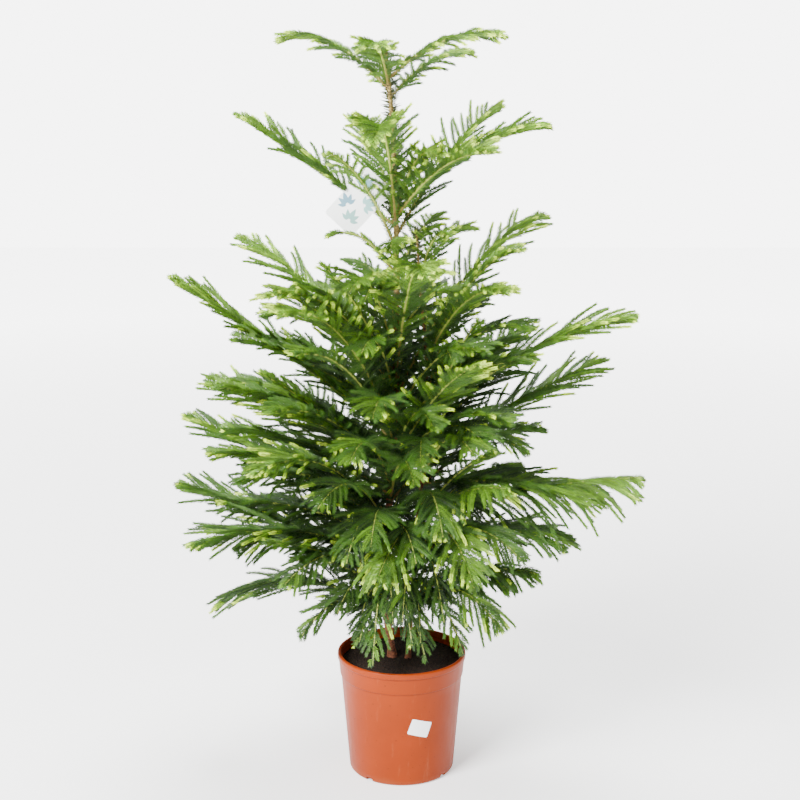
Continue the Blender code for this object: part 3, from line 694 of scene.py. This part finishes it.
def cutStrand(strand, index):
    # the strand up to a point, and the rest of it
    parts = []
    for span in (slice(0, index + 1), slice(index, None)):
        values = {key: strand[key][span] for key in strandValues}
        parts.append(strandOf(strand["node"], strand["points"][span], **values))
    return parts


def toneOf(value):
    return next((name for name, top in toneTops if value < top), "light")


def hidesCard(twig):
    # the card pushes aside the twigs that would hang in front of it
    x, height, reach = foliage["clearing"]
    return any(p.y < 0.01 and math.hypot(p.x - x, p.z - height) < reach for p in twig["points"])


def growBough(line, sprays, twigs, wood):
    rng = random.Random(line.name)
    steps = max(8, round(line.reach / foliage["boughStep"]))
    shares = [i / steps for i in range(steps + 1)]
    rooted = [-foliage["sunk"] * line.sunk / line.reach] + shares
    wood.append(strandOf(line.node, [line.point(t) for t in rooted], thick=[line.radius(t) for t in rooted],
                         age=[max(t, 0.0) for t in rooted]))
    # the bough's own needles take its whorl's tone, painted shade on low and inner boughs
    sprays[toneOf(line.tone)].append(strandOf(
        line.node, [line.point(t) for t in shares],
        size=[mix(foliage["boughNeedle"], t) for t in shares],
        splay=[math.radians(mix(foliage["boughSplay"], t)) for t in shares]))
    first = foliage["first"]
    spacing, fresh = foliage["spacing"], line.fresh
    if line.name != line.node:
        spacing, fresh = foliage["innerSpacing"], line.fresh * foliage["innerFresh"]
    pairs = round((foliage["last"] - first) * line.reach / spacing)
    step = (foliage["last"] - first) / (pairs - 1)
    for index in range(pairs):
        for row in (-1, 1):
            stagger = foliage["rowStagger"] * (row < 0)
            t = first + step * (index + stagger + rng.uniform(-jitter["place"], jitter["place"]))
            if t > 0.99:
                continue
            along = line.along(t)
            side = along.cross(up).normalized()
            above = side.cross(along)
            spread = mix(foliage["spread"], t) + rng.uniform(-jitter["spread"], jitter["spread"])
            spread = math.radians(spread)
            direction = along * math.cos(spread) + side * (row * math.sin(spread))
            lift = line.twigLift + rng.uniform(-jitter["lift"], jitter["lift"])
            direction = (direction + above * lift).normalized()
            length = twigLength(line.reach, t) * rng.uniform(*jitter["length"])
            ahead = (1.0 - t) * line.reach * foliage["tipShare"] / math.cos(spread)
            length = min(length, ahead + foliage["pastTip"])
            nod = line.nod * rng.uniform(*jitter["nod"])
            curl = along * rng.uniform(*jitter["curl"]) + above * rng.uniform(-jitter["roll"], jitter["roll"])
            twig = growTwig(line, line.point(t), direction, length, nod, curl)
            if hidesCard(twig):
                continue
            twigs.append(twig)
            # painted shade and light: the twig's green comes from its bough's tone and its place along the
            # bough, with a random spread
            tone = line.tone + foliage["tipTone"] * (t - 0.5)
            tone = toneOf(tone + rng.uniform(-jitter["tone"], jitter["tone"]))
            if rng.random() < fresh * min(1.0, foliage["freshStart"] + t):
                body, end = cutStrand(twig, foliage["points"] - foliage["budPoints"])
                paler, bud = cutStrand(end, 1)
                sprays[tone].append(body)
                sprays["light"].append(paler)
                sprays["fresh"].append(bud)
            else:
                sprays[tone].append(twig)


def strandLength(strand):
    points = strand["points"]
    return sum((b - a).length for a, b in zip(points, points[1:]))


def packed(strands, most):
    # batches of strands, each short enough to stay one piece
    batches, room = [[]], most
    for strand in strands:
        length = strandLength(strand)
        if length > room:
            batches.append([])
            room = most
        batches[-1].append(strand)
        room -= length
    return batches


def nodesOf(strands):
    return sorted({strand["node"] for strand in strands})


def makeFoliage(boughs):
    sprays = {tone: [] for tone in tones}
    twigs, wood = [], []
    for line in boughs:
        growBough(line, sprays, twigs, wood)
    needles = needleShape()
    total = 0
    for tone, strands in sprays.items():
        finish = needleFinish(tone, tones[tone])
        spacing = foliage["needleSpacing"][tone]
        most = foliage["mostNeedles"] * spacing
        for index, batch in enumerate(packed(strands, most)):
            name = f"needles_{tone}_{index + 1}"
            mesh = needles.grow(name, strandMesh(name, batch), Spacing=spacing,
                                Width=foliage["needleWidth"], Seed=index, Finish=finish)
            addPiece(name, mesh, nodesOf(batch))
            total += len(mesh.polygons)
    print(f"needles: {total} faces on {sum(map(strandLength, twigs)):.1f} m of twig")
    return twigs, wood


boughBark = {"bare": ((110, 84, 44), (158, 132, 74)), "new": ((158, 170, 70), (202, 208, 108)),
             "greenFrom": (0.02, 0.30),      # the share of a bough over which its bark turns green
             "sides": 7, "step": 0.006, "relief": 0.0009}


def makeTwigs(twigs, wood):
    woods = woodShape()
    green = Finish("twig_bark", {"IOR": 1.45})
    cloud = green.grain(green.place(), 30.0, 2.0)
    green.colour(green.blend(cloud, *map(linear, foliage["twigColours"])))
    green.roughness(green.between(cloud, 0.3, 0.7, 0.5, 0.7))
    for index, batch in enumerate(packed(twigs, foliage["mostTwig"])):
        name = f"twigs_{index + 1}"
        mesh = woods.grow(name, strandMesh(name, batch), Sides=3, Step=0.016, Relief=0.0,
                          Finish=green.material)
        addPiece(name, mesh, nodesOf(batch))
    rind = Finish("bough_rind", {"IOR": 1.45})
    place = rind.place()
    age = rind.node("ShaderNodeAttribute", {"attribute_name": "age"}, out=2)
    cloud = rind.grain(place, 120.0, 3.0)
    bare = rind.blend(cloud, *map(linear, boughBark["bare"]))
    new = rind.blend(cloud, *map(linear, boughBark["new"]))
    rind.colour(rind.blend(rind.between(age, *boughBark["greenFrom"]), bare, new))
    rind.roughness(rind.between(cloud, 0.3, 0.7, 0.5, 0.75))
    rind.bump(rind.grain(place, 420.0, 2.0), 0.0004, 0.5)
    mesh = woods.grow("bough_wood", strandMesh("bough_wood", wood), Sides=boughBark["sides"],
                      Step=boughBark["step"], Relief=boughBark["relief"], Finish=rind.material)
    limbs = [f"{s['node']}_limb" for s in wood if f"{s['node']}_limb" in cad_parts]
    addPiece("bough_wood", mesh, nodesOf(wood) + limbs)
    print(f"boughs: {len(mesh.polygons)} faces of bark")


bark = {
    "sides": 28, "step": 0.0035, "relief": 0.0011,
    "collar": 0.00084, "collarHeight": 0.006,       # swelling where a whorl leaves the stem
    "pathStep": 0.006,
    "low": ((0.30, (58, 32, 24)), (0.52, (122, 70, 46)), (0.72, (164, 108, 74))),
    "high": ((0.38, (56, 44, 20)), (0.48, (124, 104, 52)), (0.66, (186, 166, 96))),
    "turns": (0.70, 1.10),      # the heights between which the bark turns from the low colours to the high
}
stemLeaves = {
    "span": {"trunk": (1.04, 1.342), "second_stem": (0.90, 1.02)},
    "points": 40,
    "size": (0.0175, 0.0075),       # needle length low on the leader and at its tip
    "splay": (80, 34),
    "spacing": 0.00050, "width": 0.00130, "bend": 1.2, "loose": 0.22,
    "colour": (52, 62, 34),
}


def stemFinish():
    rind = Finish("stem_bark", {"IOR": 1.45})
    place = rind.place()
    level = rind.node("ShaderNodeSeparateXYZ", {}, {0: place}, out=2)
    squashed = rind.node("ShaderNodeMapping", {}, {"Vector": place, "Scale": (1.0, 1.0, 2.6)})
    flakes = rind.grain(squashed, 160.0, 5.0, 0.65)
    low, high = (rind.ramp(flakes, *linearStops(bark[part])) for part in ("low", "high"))
    rind.colour(rind.blend(rind.between(level + flakes * 0.12, *bark["turns"]), low, high))
    rind.roughness(rind.between(flakes, 0.3, 0.7, 0.62, 0.9))
    rind.bump(flakes, 0.0008, 0.8)
    return rind.material


def makeStems(lines):
    woods = woodShape()
    needles = needleShape()
    rind = stemFinish()
    dark = needleFinish("stem", stemLeaves["colour"])
    for name, line in lines.items():
        steps = round((line.top - line.bottom) / bark["pathStep"])
        heights = [mix((line.bottom, line.top), i / steps) for i in range(steps + 1)]
        heights[0] -= bark["pathStep"]      # the bark starts one step lower, inside the peat
        collars = [whorl["height"] for whorlName, whorl in whorls.items() if stemOf(whorlName) == name]
        thick = []
        for height in heights:
            swell = sum(math.exp(-((height - c) / bark["collarHeight"]) ** 2) for c in collars)
            thick.append(line.radius(max(height, line.bottom)) + bark["collar"] * min(swell, 1.0))
        points = [line.point(max(h, line.bottom)) for h in heights]
        points[0] = points[0] - up * bark["pathStep"]
        mesh = woods.grow(name + "_wood", strandMesh(name, [strandOf(name, points, thick=thick)]),
                          Sides=bark["sides"], Step=bark["step"], Relief=bark["relief"], Finish=rind)
        addPiece(name + "_bark", mesh, [name])
        shares = [i / stemLeaves["points"] for i in range(stemLeaves["points"] + 1)]
        heights = [mix(stemLeaves["span"][name], share) for share in shares]
        strand = strandOf(
            name, [line.point(h) for h in heights],
            size=[line.radius(h) + mix(stemLeaves["size"], share**3) for h, share in zip(heights, shares)],
            splay=[math.radians(mix(stemLeaves["splay"], share**5)) for share in shares])
        mesh = needles.grow(name + "_leaves", strandMesh(name, [strand]), Spacing=stemLeaves["spacing"],
                            Width=stemLeaves["width"], Bend=stemLeaves["bend"], Loose=stemLeaves["loose"],
                            Seed=3, Finish=dark)
        addPiece(name + "_needles", mesh, [name])
    print("stems ready")


pot = {
    "height": 0.230, "rim": 0.120, "base": 0.098, "wall": 0.003, "floor": 0.004,
    "lip": 0.012, "collar": 0.042, "collarStep": 0.0021,
    "footRound": 0.006, "lipRound": 0.0022, "rimRound": 0.0032, "mouthRound": 0.0016, "rimWall": 0.0066,
    "rest": (0.05, 0.084),      # radii of two more rings on the flat underside
    "sides": 160, "rings": 24,
    "notch": (0.030, 0.015, 0.007), "notchAngles": (-128, -38, 52, 142),      # depth, width and height
    "notchRound": 0.003,
    "colour": (132, 46, 1), "cloud": (0.90, 1.07),      # darker and lighter shares of the colour
    "dust": (222, 150, 112), "dusty": 0.10,
    "speck": (60, 26, 12), "specks": 0.6,
    # painted shade in the grooves under the lip and the collar: its colour, and how strongly it darkens the
    # wall
    "groove": (84, 24, 4), "paintedShade": 0.55,
    "soil": (150, 96, 62), "soiled": 0.25,
}


def wallRadius(height):
    top = pot["height"] - pot["lip"]
    return pot["base"] + (pot["rim"] - 2 * pot["collarStep"] - pot["base"]) * height / top


def arc(centre, radius, start, end, steps):
    points = []
    for step in range(steps + 1):
        a = math.radians(start + (end - start) * step / steps)
        points.append((centre[0] + radius * math.cos(a), centre[1] + radius * math.sin(a)))
    return points


def lathe(profile, sides):
    # a closed shell turned round Z from (radius, height) points, whose ends lie on the axis
    verts, rings = [], []
    for radius, height in profile:
        if radius == 0.0:
            rings.append([len(verts)] * sides)
            verts.append(Vector((0, 0, height)))
            continue
        rings.append(list(range(len(verts), len(verts) + sides)))
        for side in range(sides):
            a = math.tau * side / sides
            verts.append(Vector((radius * math.cos(a), radius * math.sin(a), height)))
    faces = []
    for low, high in zip(rings, rings[1:]):
        for side in range(sides):
            corners = (low[side], low[(side + 1) % sides], high[(side + 1) % sides], high[side])
            faces.append(tuple(dict.fromkeys(corners)))
    return verts, faces


def potProfile():
    rim, height = pot["rim"], pot["height"]
    lipBottom, collarBottom = height - pot["lip"], height - pot["collar"]
    step, footRound, floor = pot["collarStep"], pot["footRound"], pot["floor"]
    profile = [(0.0, 0.0)] + [(radius, 0.0) for radius in pot["rest"]]
    profile += arc((wallRadius(footRound) - footRound, footRound), footRound, -90, 0, 7)
    levels = [mix((footRound, collarBottom), i / pot["rings"]) for i in range(1, pot["rings"])]
    profile += [(wallRadius(level), level) for level in levels]
    profile += arc((wallRadius(collarBottom), collarBottom + step), step, -60, 0, 4)
    profile += [(wallRadius(lipBottom) + step, lipBottom - 0.0006)]
    profile += arc((rim - pot["lipRound"], lipBottom + 0.0030), pot["lipRound"], -80, 0, 5)
    profile += arc((rim - pot["rimRound"], height - pot["rimRound"]), pot["rimRound"], 0, 90, 6)
    mouth = rim - pot["rimWall"] + 0.002
    profile += arc((mouth, height - pot["mouthRound"]), pot["mouthRound"], 90, 180, 4)
    inner = wallRadius(floor) - pot["wall"]
    profile += [(rim - pot["rimWall"], height - 0.006), (inner + 0.002, floor + 0.002)]
    profile += [(inner, floor), (inner * 0.5, floor), (0.0, floor)]
    return profile


def makeCutter(angle):
    depth, width, tall = pot["notch"]
    corner = pot["notchRound"]
    outline = [(-width / 2, -0.004), (width / 2, -0.004)]
    outline += arc((width / 2 - corner, tall - corner), corner, 0, 90, 5)
    outline += arc((corner - width / 2, tall - corner), corner, 90, 180, 5)
    out = heading(angle)
    across = Vector((-out.y, out.x, 0))
    verts = []
    for reach in (pot["base"] - depth / 2, pot["base"] + depth / 2):
        verts += [out * reach + across * u + up * v for u, v in outline]
    count = len(outline)
    faces = [tuple(reversed(range(count))), tuple(range(count, 2 * count))] + bandFaces(2, count)
    return linked("notch", meshFrom("notch", verts, faces))


def potFinish():
    clay = Finish("pot_plastic", {"Specular IOR Level": 0.14})
    place = clay.place()
    level = clay.node("ShaderNodeSeparateXYZ", {}, {0: place}, out=2)
    cloud = clay.grain(place, 9.0, 3.0)
    base = linear(pot["colour"])
    darker, lighter = (tuple(share * c for c in base) for share in pot["cloud"])
    tint = clay.blend(clay.between(cloud, 0.3, 0.7), darker, lighter)
    streak = clay.grain(clay.node("ShaderNodeMapping", {}, {"Vector": place, "Scale": (1, 1, 0.16)}),
                        70.0, 4.0, 0.7)
    scuff = clay.between(streak, 0.60, 0.78) * pot["dusty"]
    dusty = clay.blend(scuff, tint, linear(pot["dust"]))
    speck = clay.between(clay.grain(place, 260.0, 1.0), 0.735, 0.765) * pot["specks"]
    dusty = clay.blend(speck, dusty, linear(pot["speck"]))
    soiled = clay.between(level + cloud * 0.03, 0.030, 0.012) * pot["soiled"]
    # painted shade: a dark line along each groove, below the lip and the collar, where shade falls
    grooves = [pot["height"] - pot["lip"], pot["height"] - pot["collar"]]
    paintedShade = sum(clay.between(clay.maths("ABSOLUTE", level - groove, 0.0), 0.0022, 0.0) for groove in grooves)
    shaded = clay.blend(paintedShade * pot["paintedShade"], dusty, linear(pot["groove"]))
    clay.colour(clay.blend(soiled, shaded, linear(pot["soil"])))
    clay.roughness(clay.between(streak, 0.3, 0.75, 0.34, 0.52))
    fine = clay.grain(place, 900.0, 2.0)
    clay.bump(fine + clay.grain(place, 22.0, 2.0) * 6.0, 0.00012, 0.6)
    return clay.material


def makePot():
    blank = linked("pot_blank", meshFrom("pot", *lathe(potProfile(), pot["sides"]), angle=35))
    cutters = [makeCutter(angle) for angle in pot["notchAngles"]]
    for cutter in cutters:
        cut = blank.modifiers.new("notch", "BOOLEAN")
        cut.operation = "DIFFERENCE"
        cut.object = cutter
    shell = plainMesh(blank)
    for cutter in cutters:
        bpy.data.objects.remove(cutter)
    addPiece("pot_shell", shell, ["pot"], potFinish())
    print("pot ready")


peat = {
    "top": 0.215, "edge": 0.209, "dip": 0.003, "gap": 0.0003, "sunk": 0.0016,
    "sides": 120, "rings": 34,
    "lump": 0.0015,
    "waves": ((55.0, 0.6), (160.0, 0.35), (420.0, 0.2)),      # how fine the lumps are, and their share
    "colours": ((0.30, (15, 11, 9)), (0.55, (38, 28, 22)), (0.74, (84, 62, 46))),
    "crumbs": 34100.0,         # for each square metre
    "crumbSize": (0.0006, 0.0021),
    "bed": (20, 64, 0.985),    # rings, sides and share of the radius that the crumbs lie on
}


def crumbShape():
    shape = Shape("crumbs_on_peat")
    density = shape.value("Density", "Float", 60000.0)
    least = shape.value("Least", "Float", 0.0006)
    most = shape.value("Most", "Float", 0.002)
    seed = shape.value("Seed", "Int", 1)
    finish = shape.value("Finish", "Material")
    points = shape.node("GeometryNodeDistributePointsOnFaces", {"distribute_method": "RANDOM"},
                        {"Mesh": shape.guide, "Density": density, "Seed": seed})
    ball = shape.node("GeometryNodeMeshIcoSphere", {}, {"Radius": 1.0, "Subdivisions": 1})
    rough = shape.node("ShaderNodeTexNoise", {}, {"Scale": 1.6, "Detail": 1.0}, out=1)
    lumpy = shape.node("GeometryNodeSetPosition", {}, {"Geometry": ball, "Offset": (rough - 0.5) * 1.2})
    size = shape.node("FunctionNodeRandomValue", {"data_type": "FLOAT"},
                      {2: 0.0, 3: 1.0, "Seed": seed}, out=1)
    turn = shape.node("FunctionNodeRandomValue", {"data_type": "FLOAT_VECTOR"},
                      {0: (0, 0, 0), 1: (6.28, 6.28, 6.28), "Seed": seed})
    scale = least + (most - least) * size * size * size
    many = shape.node("GeometryNodeInstanceOnPoints", {},
                      {"Points": points, "Instance": lumpy, "Rotation": turn, "Scale": scale})
    shape.finish(many, finish)
    return shape


def peatLevel(x, y):
    spot = Vector((x, y, 0.0))
    reach = spot.length / pot["rim"]
    lump = sum(noise.noise(spot * scale) * share for scale, share in peat["waves"])
    return peat["top"] - peat["sunk"] - peat["dip"] * reach**3 + peat["lump"] * lump


def makePeat():
    floor = pot["floor"] + peat["gap"]
    inner = wallRadius(pot["floor"]) - pot["wall"] - peat["gap"]
    mouth = pot["rim"] - pot["rimWall"]
    edge = mix((inner, mouth), (peat["top"] - pot["floor"]) / pot["height"]) - peat["gap"]
    profile = [(0.0, floor), (inner * 0.6, floor), (inner, floor)]
    profile += [(mix((inner, edge), i / 8), mix((pot["floor"], peat["edge"]), i / 8)) for i in range(1, 9)]
    profile += [(edge * (1 - i / peat["rings"]), peat["top"]) for i in range(peat["rings"])]
    verts, faces = lathe(profile + [(0.0, peat["top"])], peat["sides"])
    for vert in verts:
        if vert.z > peat["edge"] + 0.0005:
            vert.z = peatLevel(vert.x, vert.y)
    brown = Finish("peat", {"Roughness": 0.95, "IOR": 1.3})
    place = brown.place()
    flecks = brown.grain(place, 420.0, 5.0, 0.7)
    brown.colour(brown.ramp(flecks, *linearStops(peat["colours"])))
    brown.bump(brown.grain(place, 700.0, 4.0, 0.7), 0.0012, 1.0)
    addPiece("peat_bed", meshFrom("peat_bed", verts, faces, 60), ["soil"], brown.material)

    rings, sides, share = peat["bed"]
    verts = []
    for i in range(rings):
        reach = edge * share * (1 - i / rings)
        for side in range(sides):
            a = math.tau * side / sides
            x, y = reach * math.cos(a), reach * math.sin(a)
            verts.append(Vector((x, y, peatLevel(x, y))))
    least, most = peat["crumbSize"]
    mesh = crumbShape().grow("crumbs", meshFrom("bed", verts, bandFaces(rings, sides)), Seed=5,
                             Density=peat["crumbs"], Least=least, Most=most, Finish=brown.material)
    mesh.shade_smooth()
    addPiece("peat_crumbs", mesh, ["soil"])
    print(f"peat ready: {len(mesh.polygons)} faces of crumbs")


sticker = {"size": (0.040, 0.031), "thick": 0.0004, "angle": -72.0, "height": 0.118, "tilt": -18.0,
           "corner": 0.0025, "gap": 0.0003, "colour": (246, 247, 248), "roughness": 0.35}


def roundedOutline(width, height, corner, steps, along):
    corners = []
    for index, start in enumerate((0, 90, 180, 270)):
        u = (width / 2 - corner) * (1 if index in (0, 3) else -1)
        v = (height / 2 - corner) * (1 if index in (0, 1) else -1)
        corners.append(arc((u, v), corner, start, start + 90, steps))
    outline = []
    for here, after in zip(corners, corners[1:] + corners[:1]):
        (u0, v0), (u1, v1) = here[-1], after[0]
        outline += here
        outline += [(u0 + (u1 - u0) * i / along, v0 + (v1 - v0) * i / along) for i in range(1, along)]
    return outline


def slab(outline, thick, place, columns=1):
    # a thin sheet with this outline: place(u, v, depth) puts each corner, and rings close its edge
    count = len(outline)
    middle = 0.001      # the share that the innermost ring shrinks to
    rings = [(middle, 0.0)] + [(i / columns, 0.0) for i in range(1, columns)]
    rings += [(1.0, 0.0), (1.0, thick)]
    rings += [(1 - i / columns * (1 - middle), thick) for i in range(1, columns + 1)]
    verts = [place(u * share, v * share, depth) for share, depth in rings for u, v in outline]
    faces = [tuple(reversed(range(count)))] + bandFaces(len(rings), count)
    last = (len(rings) - 1) * count
    faces.append(tuple(range(last, last + count)))
    return verts, faces


def paperFinish(name, colour, rough):
    finish = Finish(name, {"IOR": 1.45})
    fibre = finish.grain(finish.place(), 260.0, 3.0)
    finish.colour(finish.blend(fibre, tuple(0.965 * c for c in linear(colour)), linear(colour)))
    finish.roughness(finish.between(fibre, 0.3, 0.7, rough, rough + 0.12))
    return finish.material


def makeSticker():
    tilt = math.radians(sticker["tilt"])
    width, height = sticker["size"]

    def onWall(u, v, depth):
        across = u * math.cos(tilt) - v * math.sin(tilt)
        level = sticker["height"] + u * math.sin(tilt) + v * math.cos(tilt)
        radius = wallRadius(level) + sticker["gap"] + depth
        a = math.radians(sticker["angle"]) + across / radius
        return Vector((radius * math.cos(a), radius * math.sin(a), level))

    verts, faces = slab(roundedOutline(width, height, sticker["corner"], 4, 10), sticker["thick"], onWall, 8)
    addPiece("blank_label", meshFrom("blank_label", verts, faces, 30), ["pot_sticker"],
             paperFinish("label_paper", sticker["colour"], sticker["roughness"]))
    print("sticker ready")


card = {"size": (0.064, 0.110), "thick": 0.0008, "corner": 0.006, "height": 1.088, "turn": -43.0,
        "loopHeight": 0.004, "loopThick": 0.0009, "loopSides": 24,
        "colour": (247, 248, 247), "roughness": 0.45}

leaves = {     # the card's pattern; each sprig has its place on the card and its turn in degrees
    "length": 0.021, "width": 0.0086, "thick": 0.00015, "stalk": 0.004, "points": 9,
    "blades": 2, "fan": 34, "shorter": 0.14,      # on each side, degrees apart, each this share shorter
    "sprigs": ((-0.011, 0.026, 25), (0.010, 0.000, -40), (-0.010, -0.018, 60), (0.009, -0.038, 10)),
    "colours": ((120, 160, 172), (140, 184, 180), (104, 142, 158), (128, 170, 164)),
}


def leafOutline(length, width):
    count = leaves["points"]
    upper = [(length * i / count, width / 2 * math.sin(math.pi * (i / count) ** 0.8))
             for i in range(count + 1)]
    lower = [(x, -y) for x, y in reversed(upper[1:-1])]
    return list(reversed(upper + lower))


def makeCard(line):
    width, length = card["size"]
    turn = math.radians(card["turn"])
    centre = line.point(card["height"])
    loop = line.radius(card["height"]) + sticker["gap"]
    hang = Vector((width / 2, 0, length / 2)) - Vector((1, 0, 1)) * card["corner"] * 0.3
    corner = centre - Vector((loop + card["loopThick"] * 0.5, 0, 0))

    def onCard(u, v, depth):
        out = Vector((u, 0, v)) - hang
        return corner + Vector((out.x * math.cos(turn) - out.z * math.sin(turn), -depth,
                                out.x * math.sin(turn) + out.z * math.cos(turn)))

    outline = roundedOutline(width, length, card["corner"], 7, 4)
    verts, faces = slab(outline, card["thick"], onCard, 3)
    around = card["loopSides"]
    low = -card["loopHeight"] / 2
    outer = loop + card["loopThick"]
    faces += bandFaces(4, around, len(verts), closed=True)
    for reach, level in ((loop, low), (outer, low), (outer, -low), (loop, -low)):
        for side in range(around):
            a = math.tau * side / around
            verts.append(centre + Vector((reach * math.cos(a), reach * math.sin(a), level)))
    addPiece("care_card", meshFrom("care_card", verts, faces, 30), ["hang_card"],
             paperFinish("card_stock", card["colour"], card["roughness"]))
    for index, (u, v, lean) in enumerate(leaves["sprigs"]):
        verts, faces = [], []
        for blade in range(-leaves["blades"], leaves["blades"] + 1):
            tilt = math.radians(lean + 90 + blade * leaves["fan"])
            size = 1.0 - leaves["shorter"] * abs(blade)
            rise = leaves["thick"] * (blade + leaves["blades"])

            def onSprig(a, b, depth, tilt=tilt, size=size, rise=rise):
                a += leaves["stalk"]
                x = a * size * math.cos(tilt) - b * size * math.sin(tilt)
                z = a * size * math.sin(tilt) + b * size * math.cos(tilt)
                return onCard(u + x, v + z, card["thick"] + depth + rise)

            more, walls = slab(leafOutline(leaves["length"], leaves["width"]), leaves["thick"], onSprig)
            faces += [tuple(len(verts) + i for i in face) for face in walls]
            verts += more
        name = f"card_leaves_{index + 1}"
        addPiece(name, meshFrom(name, verts, faces, 30), [],
                 paperFinish(name, leaves["colours"][index], 0.5))
    print("card ready")


makeStudio()
lines, boughs = layOutBoughs()
makePot()
makePeat()
makeSticker()
makeCard(lines["trunk"])
makeStems(lines)
makeTwigs(*makeFoliage(boughs))
